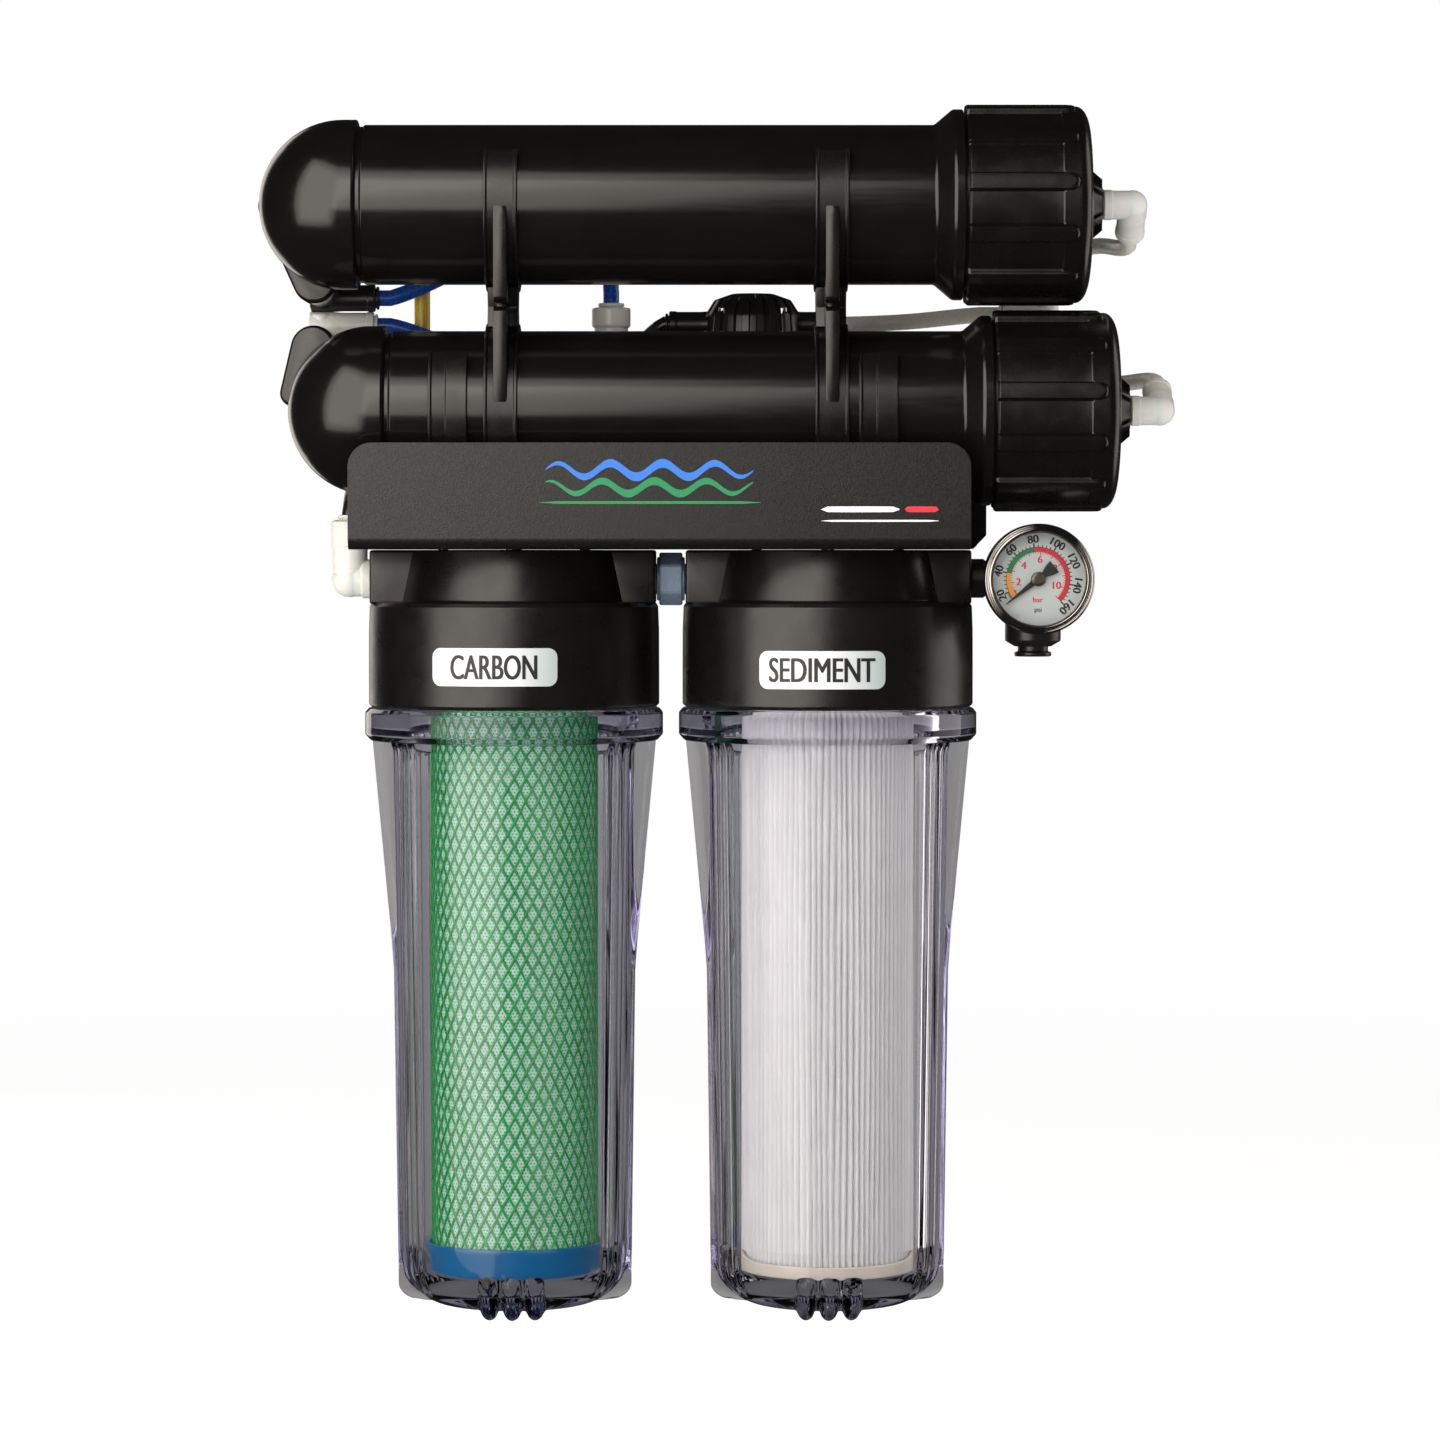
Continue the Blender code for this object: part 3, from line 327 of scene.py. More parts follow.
class Finish:
    """A node material in the making, with short ways to add its tint, mottle, gloss, grain and bump."""

    def __init__(self, name, colour, roughness, metallic=0.0):
        self.material = bpy.data.materials.new(name)
        self.material.use_nodes = True
        self.tree = self.material.node_tree
        self.shader = self.tree.nodes["Principled BSDF"]
        self.colour, self.roughness = colour, roughness
        self.set("Base Color", (*colour, 1.0))
        self.set("Roughness", roughness)
        self.set("Metallic", metallic)
        self.coords = self.tree.nodes.new("ShaderNodeTexCoord").outputs["Object"]
        self.normal = None

    def set(self, socket, value):
        self.shader.inputs[socket].default_value = value
        return self

    def link(self, source, target):
        self.tree.links.new(source, target)

    def feed(self, value, target):
        """Gives an input its value, or links it when the value is another node's output."""
        if isinstance(value, bpy.types.NodeSocket):
            self.link(value, target)
        else:
            target.default_value = value

    def node(self, kind, **inputs):
        made = self.tree.nodes.new(kind)
        for key, value in inputs.items():
            self.feed(value, made.inputs[key])
        return made

    def math(self, operation, a, b=0.0):
        made = self.tree.nodes.new("ShaderNodeMath")
        made.operation = operation
        self.feed(a, made.inputs[0])
        self.feed(b, made.inputs[1])
        return made.outputs[0]

    def noise(self, size, stretch=(1, 1, 1), detail=3.0):
        """Noise with features about this many millimetres across."""
        spread = self.node("ShaderNodeVectorMath")
        spread.operation = "MULTIPLY"
        self.link(self.coords, spread.inputs[0])
        spread.inputs[1].default_value = [share / (size * MM) for share in stretch]
        made = self.node(
            "ShaderNodeTexNoise", Vector=spread.outputs[0], Scale=1.0, Detail=detail, Roughness=0.55,
        )
        return made.outputs["Fac"]

    def ramp(self, fac, low, high, start=0.3, end=0.7):
        """A value from low to high, as fac goes from start to end."""
        made = self.node("ShaderNodeMapRange", Value=fac)
        for key, value in (("From Min", start), ("From Max", end), ("To Min", low), ("To Max", high)):
            made.inputs[key].default_value = value
        return made.outputs["Result"]

    def blend(self, fac, first, second):
        """A colour between two, each a tuple or a socket."""
        made = self.tree.nodes.new("ShaderNodeMix")
        made.data_type = "RGBA"
        self.link(fac, made.inputs["Factor"])
        for key, value in (("A", first), ("B", second)):
            socket = [s for s in made.inputs if s.name == key and s.type == "RGBA"][0]
            self.feed((*value, 1.0) if isinstance(value, tuple) else value, socket)
        return [s for s in made.outputs if s.type == "RGBA"][0]

    def tint(self, fac, second, first=None):
        """Colours the surface between its own colour and another."""
        source = self.blend(fac, self.colour if first is None else first, second)
        self.link(source, self.shader.inputs["Base Color"])
        self.painted = source
        return self

    def mottle(self, size, share):
        """A faint, cloudy change of colour."""
        low = tuple(max(0.0, value * (1 - share)) for value in self.colour)
        high = tuple(min(1.0, value * (1 + share)) for value in self.colour)
        fac = self.ramp(self.noise(size), 0.0, 1.0)
        return self.tint(fac, high, low)

    def polish(self, size, spread, stretch=(1, 1, 1)):
        """Roughness that wanders by this much to each side."""
        fac = self.noise(size, stretch)
        self.link(
            self.ramp(fac, self.roughness - spread, self.roughness + spread), self.shader.inputs["Roughness"]
        )
        return self

    def bump(self, height, depth):
        """Adds relief of this many millimetres to the surface normal."""
        made = self.node("ShaderNodeBump", Height=height, Strength=1.0, Distance=depth * MM)
        if self.normal:
            self.link(self.normal, made.inputs["Normal"])
        self.normal = made.outputs["Normal"]
        self.link(self.normal, self.shader.inputs["Normal"])
        return self

    def grain(self, size, depth, stretch=(1, 1, 1), detail=2.0):
        return self.bump(self.noise(size, stretch, detail), depth)


def moulded(name, colour, roughness, size=0.6, depth=0.006, spread=0.05, share=0.12):
    """Injection-moulded plastic: a faint orange peel, cloudy gloss and a touch of colour drift."""
    made = Finish(name, colour, roughness)
    made.mottle(14, share).polish(9, spread).grain(size, depth).grain(6, depth * 3)
    return made


def build_finishes():
    looks = {}
    looks["head"] = moulded("head_black", (0.0042, 0.0038, 0.0033), 0.30, 0.7, 0.006)
    housing = Finish("housing_black", (0.0045, 0.0040, 0.0034), 0.17).mottle(20, 0.15)
    looks["housing"] = housing.polish(1.2, 0.03, (0.08, 1, 1)).grain(0.9, 0.003, (0.12, 1, 1)).grain(7, 0.006)
    looks["cap"] = moulded("cap_black", (0.0034, 0.0032, 0.0029), 0.26, 0.5, 0.005)
    looks["clip"] = moulded("clip_black", (0.0048, 0.0044, 0.0039), 0.25, 0.8, 0.005)
    looks["fitting_black"] = moulded("fitting_black", (0.010, 0.0098, 0.0095), 0.33)
    powder = Finish("powder_coat", (0.0050, 0.0048, 0.0046), 0.36).mottle(1.1, 0.35).polish(0.8, 0.07)
    looks["powder"] = powder.grain(0.75, 0.035, detail=1.0).grain(2.4, 0.02)
    looks["white"] = moulded("fitting_white", (0.64, 0.645, 0.61), 0.30, 0.8, 0.006, 0.05, 0.02)
    looks["white"].set("Subsurface Weight", 0.12).set("Subsurface Scale", 0.004)
    looks["blue"] = moulded("blue_plastic", (0.0, 0.125, 0.31), 0.34, 0.7, 0.008, 0.05, 0.06)
    looks["cream"] = moulded("cream_plastic", (0.72, 0.68, 0.57), 0.42, 0.7, 0.008, 0.05, 0.03)
    # The nipple is white plastic; this bluish grey is painted shade
    looks["grey"] = moulded("grey_plastic", (0.19, 0.26, 0.36), 0.26, 0.8, 0.006, 0.04, 0.05)
    looks["net"] = moulded("green_net", (0.0, 0.33, 0.06), 0.34, 0.5, 0.006, 0.05, 0.12)
    looks["rubber"] = moulded("rubber", (0.016, 0.016, 0.016), 0.62, 0.4, 0.01)
    for name, colour in (
        ("tube_white", (0.64, 0.64, 0.57)), ("tube_black", (0.010, 0.010, 0.010)),
        ("tube_blue", (0.012, 0.07, 0.36)),
        ("tube_yellow", (0.60, 0.40, 0.03)),
    ):
        made = Finish(name, colour, 0.27).mottle(18, 0.05).polish(1.5, 0.04)
        looks[name] = made.grain(0.5, 0.004)
        if name != "tube_black":
            made.set("Subsurface Weight", 0.15).set("Subsurface Scale", 0.002)
    looks["chrome"] = Finish("chrome", (0.45, 0.43, 0.41), 0.09, 1.0).polish(3, 0.03).grain(5, 0.003)
    steel = Finish("steel", (0.50, 0.50, 0.51), 0.30, 1.0).mottle(2, 0.1).polish(0.5, 0.08, (1, 1, 0.1))
    looks["steel"] = steel.grain(0.3, 0.006, (1, 1, 0.08))
    looks["dial"] = Finish("dial_white", (0.57, 0.63, 0.635), 0.42).mottle(8, 0.03).grain(0.3, 0.002)
    for name, colour in (
        ("print_black", (0.012, 0.012, 0.012)), ("print_red", (0.62, 0.018, 0.035)),
        ("print_green", (0.005, 0.22, 0.075)), ("print_amber", (0.85, 0.36, 0.03)),
        ("print_blue", (0.02, 0.16, 0.60)), ("print_white", (0.75, 0.76, 0.77)),
    ):
        looks[name] = Finish(name, colour, 0.45).mottle(0.6, 0.08).polish(0.7, 0.05)
    looks["needle"] = moulded("needle_black", (0.008, 0.008, 0.008), 0.45, 0.5, 0.004)
    looks["hub"] = Finish("hub_metal", (0.10, 0.09, 0.07), 0.36, 1.0).polish(0.6, 0.08)
    looks["wrap_film"] = Finish("membrane_wrap", (0.70, 0.72, 0.74), 0.35).mottle(12, 0.04).polish(5, 0.06)
    looks["pleat"] = pleat_cloth()
    looks["wrap"] = carbon_wrap()
    looks["sticker"] = sticker_film()
    looks["clear"] = clear_plastic("clear_bowl", (0.97, 0.965, 0.99), 0.035, 18.0)
    looks["glass"] = clear_plastic("gauge_glass", (1.0, 1.0, 1.0), 0.01, 0.0)
    return {name: made.material for name, made in looks.items()}


def pleat_cloth():
    """Pleated polyester: soft white with fine fibres that run across and down."""
    made = Finish("pleated_cloth", (0.745, 0.765, 0.755), 0.78).mottle(10, 0.025)
    made.polish(3, 0.06)
    made.grain(0.25, 0.03, (1, 1, 0.25), 3.0).grain(1.6, 0.05, (1, 1, 0.4))
    return made.set("Sheen Weight", 0.15).set("Sheen Roughness", 0.6)


def carbon_wrap():
    """Pale green spun-bonded wrap with rows of small dark dots, set round the cartridge's axis."""
    made = Finish("carbon_wrap", (0.72, 0.76, 0.73), 0.70)
    parts = made.node("ShaderNodeSeparateXYZ", Vector=made.coords)
    x = made.math("ADD", parts.outputs["X"], FILTER_X * MM)
    y = made.math("SUBTRACT", parts.outputs["Y"], AXIS_Y * MM)
    turn = made.math("ARCTAN2", y, x)
    pitch = 1.25
    columns = round(2 * math.pi * WRAP_R / pitch / 2) * 2
    across = made.math("MULTIPLY", turn, columns / (2 * math.pi))
    down = made.math("DIVIDE", parts.outputs["Z"], pitch * MM)
    row = made.math("FLOOR", down)
    odd = made.math("MULTIPLY", made.math("MODULO", row, 2.0), 0.5)
    u = made.math("SUBTRACT", made.math("FRACT", made.math("ADD", across, odd)), 0.5)
    v = made.math("SUBTRACT", made.math("FRACT", down), 0.5)
    reach = made.math("SQRT", made.math("ADD", made.math("MULTIPLY", u, u), made.math("MULTIPLY", v, v)))
    dot = made.ramp(reach, 1.0, 0.0, 0.17, 0.30)
    cloudy = made.blend(made.ramp(made.noise(3.0), 0.0, 1.0), (0.39, 0.68, 0.52), (0.50, 0.79, 0.64))
    made.link(made.blend(dot, cloudy, (0.09, 0.19, 0.13)), made.shader.inputs["Base Color"])
    made.bump(dot, -0.05)
    return made.grain(0.3, 0.03).polish(2, 0.06)


def sticker_film():
    """A white plastic label, with painted shade that turns it a cool grey towards its right end."""
    made = Finish("label_film", (0.68, 0.70, 0.71), 0.32)
    made.mottle(9, 0.03)
    # Painted shade: each label is tinted cool grey to the right of its head's middle
    parts = made.node("ShaderNodeSeparateXYZ", Vector=made.coords)
    side = made.math("SIGN", parts.outputs["X"])
    reach = made.math("SUBTRACT", made.math("ABSOLUTE", parts.outputs["X"]), FILTER_X * MM)
    painted_shade = made.ramp(made.math("MULTIPLY", side, reach), 0.0, 1.0, -0.002, 0.024)
    made.tint(painted_shade, (0.27, 0.34, 0.345), made.painted)
    return made.polish(6, 0.05).grain(2.5, 0.004)


def clear_plastic(name, colour, roughness, density):
    """Clear plastic. Rays from the lamps pass through it, so what it holds is lit."""
    made = Finish(name, colour, roughness)
    made.set("Transmission Weight", 1.0).set("IOR", 1.5).set("Specular Tint", (0.45, 0.45, 0.47, 1.0))
    made.polish(12, roughness * 0.5)
    made.grain(30, 0.004, (1, 1, 0.1), 0.0)
    nodes = made.tree.nodes
    output = nodes["Material Output"]
    through = made.node("ShaderNodeBsdfTransparent", Color=(0.95, 0.95, 0.965, 1.0))
    mix = nodes.new("ShaderNodeMixShader")
    made.link(nodes.new("ShaderNodeLightPath").outputs["Is Shadow Ray"], mix.inputs[0])
    made.link(made.shader.outputs[0], mix.inputs[1])
    made.link(through.outputs[0], mix.inputs[2])
    made.link(mix.outputs[0], output.inputs["Surface"])
    if density:
        inside = made.node("ShaderNodeVolumeAbsorption", Color=(0.55, 0.53, 0.78, 1.0), Density=density)
        made.link(inside.outputs[0], output.inputs["Volume"])
    return made


# Lettering ----------------------------------------------------------------------------------------

def lettering(name, words, height, look, width=None, bold=0.0):
    """Plain raised lettering in the X-Z plane, facing -Y, round the origin, made bold by side steps."""
    curve = bpy.data.curves.new(name, "FONT")
    curve.body = words
    curve.align_x, curve.align_y = "CENTER", "CENTER"
    curve.resolution_u = 4
    curve.extrude = 0.01
    text = stand(name, curve)
    graph = bpy.context.evaluated_depsgraph_get()
    data = bpy.data.meshes.new_from_object(text.evaluated_get(graph))
    bpy.data.objects.remove(text, do_unlink=True)
    xs, ys = [v.co.x for v in data.vertices], [v.co.y for v in data.vertices]
    tall = height / (max(ys) - min(ys))
    wide = width / (max(xs) - min(xs)) if width else tall
    middle = Vector(((max(xs) + min(xs)) / 2, (max(ys) + min(ys)) / 2))
    for vertex in data.vertices:
        x, y, z = vertex.co
        vertex.co = Vector(((x - middle.x) * wide, -0.03 if z > 0 else 0.03, (y - middle.y) * tall)) * MM
    data.materials.clear()
    data.materials.append(look)
    copies = []
    for step in (-1, 0, 1) if bold else (0,):
        copy = stand(f"{name}{step}", data.copy())
        copy.data.transform(Matrix.Translation(Vector((step * bold, step * 0.006, 0)) * MM))
        copies.append(copy)
    return join(name, copies)


def wrapped(obj, centre_x, radius, turn, z):
    """Bends a flat piece from the X-Z plane round a vertical axis, its middle at this turn to the right."""
    for vertex in obj.data.vertices:
        x, y, up = vertex.co / MM
        angle = math.radians(turn) + x / radius
        out = radius - y
        place = (centre_x + out * math.sin(angle), AXIS_Y - out * math.cos(angle), up + z)
        vertex.co = Vector(place) * MM


def label_plate(name, wide, tall, corner, thick, look):
    """A thin plate with rounded corners, cut into upright strips so that it bends."""
    mesh = bmesh.new()
    half, rise = wide / 2, tall / 2
    ends = [corner * (1 - math.cos(math.radians(15 * step))) for step in range(7)]
    stations = [-half + end for end in ends]
    steps = 24
    stations += [-half + corner + (wide - 2 * corner) * step / steps for step in range(1, steps)]
    stations += [half - end for end in reversed(ends)]
    columns = []
    for x in stations:
        inset = max(0.0, abs(x) - (half - corner))
        top = rise - corner + math.sqrt(max(0.0, corner ** 2 - inset ** 2))
        columns.append([mesh.verts.new((x, y, z)) for y, z in (
            (-thick, top), (-thick, -top), (0, -top), (0, top),
        )])
    skin(mesh, columns)
    bmesh.ops.remove_doubles(mesh, verts=mesh.verts, dist=1e-5)
    return finish(mesh, name, look, 30)


# Filter side --------------------------------------------------------------------------------------

def build_bracket(looks):
    """The bent sheet: a front panel with rounded top corners, a floor and a wall plate with two holes."""
    low, top, front, back = -20.0, -18.5, -122.0, 0.0
    left, right, panel_top, r = -123.2, 115.5, 21.0, 9.3
    half, rear_top, chamfer, inner, outer = 127.8, 35.0, 5.5, 3.0, 4.5
    section = (
        [(front, panel_top)]
        + arc((front + outer, low + outer), outer, 180, 270, 10)
        + arc((back - outer, low + outer), outer, 270, 360, 10)
        + [(back, rear_top), (back - 1.5, rear_top)]
        + arc((back - outer, low + outer), inner, 360, 270, 10)
        + arc((front + outer, low + outer), inner, 270, 180, 10)
        + [(front + 1.5, panel_top)]
    )
    look = looks["powder"]
    bracket = plate("bracket_sheet", section, -half, half, look, "X", 0)
    out, above = half + 5, panel_top + 5
    cutters = []
    for side, edge in ((-1, left), (1, right)):
        sweep_round = arc((edge - side * r, panel_top - r), r, 90 + side * -90, 90, 20)
        corner = [(side * out, low - 5), (edge, low - 5)] + sweep_round
        corner += [(edge - side * r, above), (side * out, above)]
        cutters.append(plate(f"panel_cut{side}", corner, front - 5, back - outer - 2, look, "Y", 0))
        wedge = [(side * (half - chamfer - 5), low - 5), (side * out, low - 5),
                 (side * out, low + chamfer + 5)]
        cutters.append(plate(f"rear_cut{side}", wedge, back - outer - 6, back + 5, look, "Y", 0))
        slot = arc((side * 95.0, 8.0), 3.2, 0, 350, 35)
        cutters.append(plate(f"wall_hole{side}", slot, -5, 5, look, "Y", 0))
    notch = [(-out, AXIS_Y - 11), (left + 4.8, AXIS_Y - 11), (left + 4.8, AXIS_Y + 11), (-out, AXIS_Y + 11)]
    cutters.append(plate("elbow_notch", notch, low - 5, top + 5, look, "Z", 0))
    boolean(bracket, "DIFFERENCE", cutters)
    bevel(bracket, 0.35, 3)
    # Weighted normals keep the sheet's wide faces flat round its holes
    bracket.modifiers.new("flat", "WEIGHTED_NORMAL").keep_sharp = True
    settle(bracket)
    dress(bracket, "root", "black_coat", "bracket")
    build_badge(looks)


def ribbon(name, centre, wide, thick, look, swing=0.0, waves=0.0, shift=0.0, tip=0.5):
    """A printed strip on the panel's face, straight or waving, that tapers at its ends."""
    mesh = bmesh.new()
    steps = 120 if swing else 12
    front, rear = -122.06, -121.9
    rows = []
    for step in range(steps + 1):
        share = step / steps
        x = centre[0] + wide * (share - 0.5)
        middle = centre[1] + swing * math.sin(2 * math.pi * waves * share + shift)
        half = thick / 2 * max(0.0, math.sin(math.pi * share)) ** tip + 0.02
        corners = ((front, middle + half), (front, middle - half), (rear, middle - half),
                   (rear, middle + half))
        rows.append([mesh.verts.new((x, y, z)) for y, z in corners])
    skin(mesh, rows)
    return finish(mesh, name, look, 30)


def build_badge(looks):
    """Plain printed ornament: two waves over a green rule, and a small white and red rule to the right."""
    blue, green, white, red = (looks[f"print_{colour}"] for colour in ("blue", "green", "white", "red"))
    strips = [
        ribbon("wave_high", (-7.6, 10.4), 80, 3.4, blue, 2.6, 4, 0.0),
        ribbon("wave_low", (-7.6, 3.8), 80, 3.0, green, 2.4, 4, 1.0),
        ribbon("rule_green", (-7.6, -2.0), 85, 1.0, green, tip=0.05),
        ribbon("rule_white", (73.0, -4.6), 30, 2.2, white, tip=0.05),
        ribbon("rule_red", (96.5, -4.6), 13, 2.2, red, tip=0.05),
        ribbon("rule_thin", (80.5, -9.0), 45, 0.7, white, tip=0.05),
    ]
    dress(join("panel_pattern", strips), "root", "dial_white")


def build_screws(looks):
    """Four cross-headed screws down through the bracket into each head."""
    top = -18.2
    look = looks["steel"]
    outline = [
        (0, top + 2.7), (2.4, top + 2.6, 1.2), (4.3, top + 1.0, 0.8), (4.4, top, 0.2), (2.0, top), (2.0, -33),
        (0, -34.5),
    ]
    places = [(x0 + x, AXIS_Y + y) for x0 in (-FILTER_X, FILTER_X) for x, y in arc((0, 0), 28.0, 0, 270, 3)]
    for index, (x, y) in enumerate(places):
        screw = lathe(f"pan_screw_{index + 1}", outline, look, at=(x, y, 0), count=32)
        cross = []
        for turn in (0, 1):
            a, b = (2.3, 0.42) if turn else (0.42, 2.3)
            slot = [(x - a, y - b), (x + a, y - b), (x + a, y + b), (x - a, y + b)]
            cross.append(plate(f"cross{turn}", slot, top + 1.2, top + 4, look, "Z", 0))
        boolean(screw, "DIFFERENCE", cross, 30)
        dress(screw, "root", "steel", f"head_screw_{index + 1}")


def build_head(name, centre_x, looks):
    """A filter head: a stepped cap with four corner bosses, its port walls and a hollow for the bowl."""
    look = looks["head"]
    outline = [
        (0, -20.3), (42.3, -20.3, 0.6), (46.3, -40.6, 1.2), (55.7, -40.6, 0.9), (56.9, -42.4, 0.7),
        (57.25, -52),
        (HEAD_R, -66), (HEAD_R, -80.9, 1.2), (56.1, -82, 0.6), (52, -82, 0.3), (52, -56), (46, -56),
        (44, -50),
        (16, -48), (16, -57.7, 0.3), (9, -57.7, 0.3), (8.5, -62, 0.4), (5, -62, 0.4), (5, -46), (0, -46),
    ]
    head = lathe(f"{name}_shell", outline, look, at=(centre_x, AXIS_Y, 0), count=160)
    bosses = [(centre_x + x, AXIS_Y + y) for x, y in ((-56, -17), (56, -17), (56, 17), (-56, 17))]
    block = plate(f"{name}_bosses", bosses, -41.5, -20.3, look, "Z", 1.1, segments=4)
    boolean(head, "UNION", [block])
    cutters = []
    for side in (-1, 1):
        hole = turned(
            f"{name}_port{side}", (centre_x + side * 61, AXIS_Y, PORT_Z), (-side, 0, 0),
            [(0, 0), (6.9, 0), (6.9, 22), (0, 22)], look, 48,
        )
        cutters.append(hole)
    boolean(head, "DIFFERENCE", cutters, 26)
    dress(head, "root", "black_plastic", f"{name}_head")


def build_stickers(looks):
    """A white label on each head that names its cartridge."""
    for name, centre_x, turn, z, word, wide in (
        ("carbon", -FILTER_X, -5.9, -65.2, "CARBON", 33.8),
        ("sediment", FILTER_X, -3.5, -66.3, "SEDIMENT", 41.4),
    ):
        film = label_plate(f"{name}_film", 50.0, 14.7, 3.6, 0.12, looks["sticker"])
        wrapped(film, centre_x, HEAD_R + 0.04, turn, z)
        words = lettering(f"{name}_words", word, 9.4, looks["print_black"], wide, 0.26)
        wrapped(words, centre_x, HEAD_R + 0.27, turn, z)
        dress(join(f"{name}_label", [film, words]), "root", "dial_white")


# The bowl
RIB_XS = (-9.0, 0.0, 9.0)
BOWL_FLOOR = -310.0
FOOT_CENTRE, FOOT_TOP, FOOT_R = 26.2, -300.6, 17.5
SIDE_RIBS = (13.5, 24.0, 34.5)


def bowl_shape(radius, height, angle):
    """The bowl's outside: two thin fins, upright ribs beside them, and three ribs that wrap under it."""
    on_foot = height < FOOT_TOP and math.hypot(radius - FOOT_CENTRE, height - FOOT_TOP) > FOOT_R - 0.2
    outside = radius > 42.4 or on_foot
    if radius > 50 or height > -94 or not (outside or height < -317.5):
        return radius, height
    under = min(1.0, max(0.0, (-303.0 - height) / 12.0))
    turn = under * math.pi / 2
    x = radius * math.cos(angle)
    bump = 0.0
    if abs(math.sin(angle)) > 0.5 or radius < 34:
        for rib_x in RIB_XS:
            off = abs(x - rib_x) / 3.4
            if off < 1:
                bump = max(bump, (1 - off ** 2) ** 0.6 * (0.06 + 3.74 * under ** 0.7))
    side_angle = math.degrees(math.asin(min(1.0, abs(math.sin(angle)))))
    fade = min(1.0, max(0.0, (height + 314.0) / 8.0))
    for rib in SIDE_RIBS:
        off = abs(side_angle - rib) * math.pi / 180 * radius / 1.9
        if off < 1:
            bump = max(bump, (1 - off ** 2) ** 0.6 * 1.5 * fade)
    r, h = radius + bump * math.cos(turn), height - bump * math.sin(turn)
    edge = 1.0 if side_angle < 1.3 else (0.985 if side_angle < 1.75 else 0.0)
    if edge and radius > FOOT_CENTRE + 0.5:
        if height > -183:
            r = max(r, (47.8 + 8.2 * (height + 183) / 88) * edge)
        elif height > FOOT_TOP:
            r = max(r, (46.2 + 1.6 * (height + 306) / 123) * edge)
        else:
            # The fin runs down past the round foot, turns a small corner and comes back along the bottom
            share = math.atan2(FOOT_TOP - height, radius - FOOT_CENTRE) / (math.pi / 2)
            if share < 0.4:
                fin = (46.2, FOOT_TOP - 10.0 * share / 0.4)
            elif share < 0.75:
                bend = (share - 0.4) / 0.35 * math.pi / 2
                fin = (41.2 + 5 * math.cos(bend), FOOT_TOP - 10.0 - 5 * math.sin(bend))
            else:
                fin = (41.2 - (share - 0.75) / 0.25 * 14, FOOT_TOP - 15.0 - 2.4 * (share - 0.75) / 0.25)
            r, h = fin[0] * edge, min(h, fin[1])
    return r, h


def build_bowl(name, centre_x, looks):
    """The clear bowl: neck inside the head, collar ring, ribbed wall and wrapped foot ribs."""
    levels = [-298 + 12.4 * step for step in range(17)]
    wall = [(43.9 + 3.0 * (level + 300) / 205, level) for level in levels]
    corner = arc((FOOT_CENTRE, FOOT_TOP), FOOT_R, 0, -90, 16)
    floor = [(2.0 * step, -318.6 + (step / 13.0) ** 4 * 0.5) for step in range(1, 13)]
    outline = (
        [(0, -318.6)] + floor + corner[::-1] + wall
        + [(48.2, -95.2, 0.8), (56.6, -95.2, 1.2), (58.75, -92.8, 1.4), (58.75, -84.2, 1.3),
           (57.2, -82.4, 0.9),
           (53.2, -82.4, 0.5), (51.4, -80.6, 0.6), (51.4, -65.8), (48.9, -65.8), (48.9, -62.2), (51.4, -62.2),
           (51.4, -57.3, 0.5), (46, -57.3, 0.5), (43.0, -72, 3), (41.5, -95, 3), (40.0, -294, 3),
           (37.6, -303.5, 4),
           (31, BOWL_FLOOR, 4), (16, BOWL_FLOOR), (16, -306.3), (9, -306.3), (8.5, -302), (0, -302)]
    )
    fine = [0.0, 0.7, 1.25, 1.7, 2.02]
    angles = []
    for middle in (0.0, 180.0):
        angles += [middle + side * off for off in fine for side in ((-1, 1) if off else (1,))]
    even = [step * 0.75 for step in range(480)]
    angles += [angle for angle in even if min(angle % 180, 180 - angle % 180) > 2.3]
    angles = [math.radians(angle) for angle in sorted(angle % 360 for angle in angles)]
    bowl = lathe(
        f"{name}_bowl_clear", outline, looks["clear"], at=(centre_x, AXIS_Y, 0), angles=angles,
        shape=bowl_shape,
        sharp=50.0,
    )
    dress(bowl, f"{name}_bowl", "clear_plastic", f"{name}_sump")
    ring = lathe(f"{name}_o_ring", arc((50.15, -64), 1.15, 0, 330, 11), looks["rubber"],
                 at=(centre_x, AXIS_Y, 0))
    dress(ring, f"{name}_bowl", "rubber", f"{name}_sump_seal")


def build_end_caps(name, centre_x, look, slot, inner_r, outer_r, rims):
    """The cups moulded over both ends of a cartridge, each with a rolled rim."""
    for end, node, floor, rim, inward in (
        ("low", "bottom", CARTRIDGE_LOW, rims[0], 2.5), ("high", "top", CARTRIDGE_HIGH, rims[1], -2.5),
    ):
        outline = [
            (10, floor), (outer_r, floor, 1.4), (outer_r, rim, 0.5), (inner_r, rim, 0.5),
            (inner_r, floor + inward),
            (10, floor + inward),
        ]
        cap = lathe(f"{name}_cap_{end}", outline, look, at=(centre_x, AXIS_Y, 0), count=120)
        dress(cap, f"{name}_cartridge", slot, f"{name}_{node}_cap")


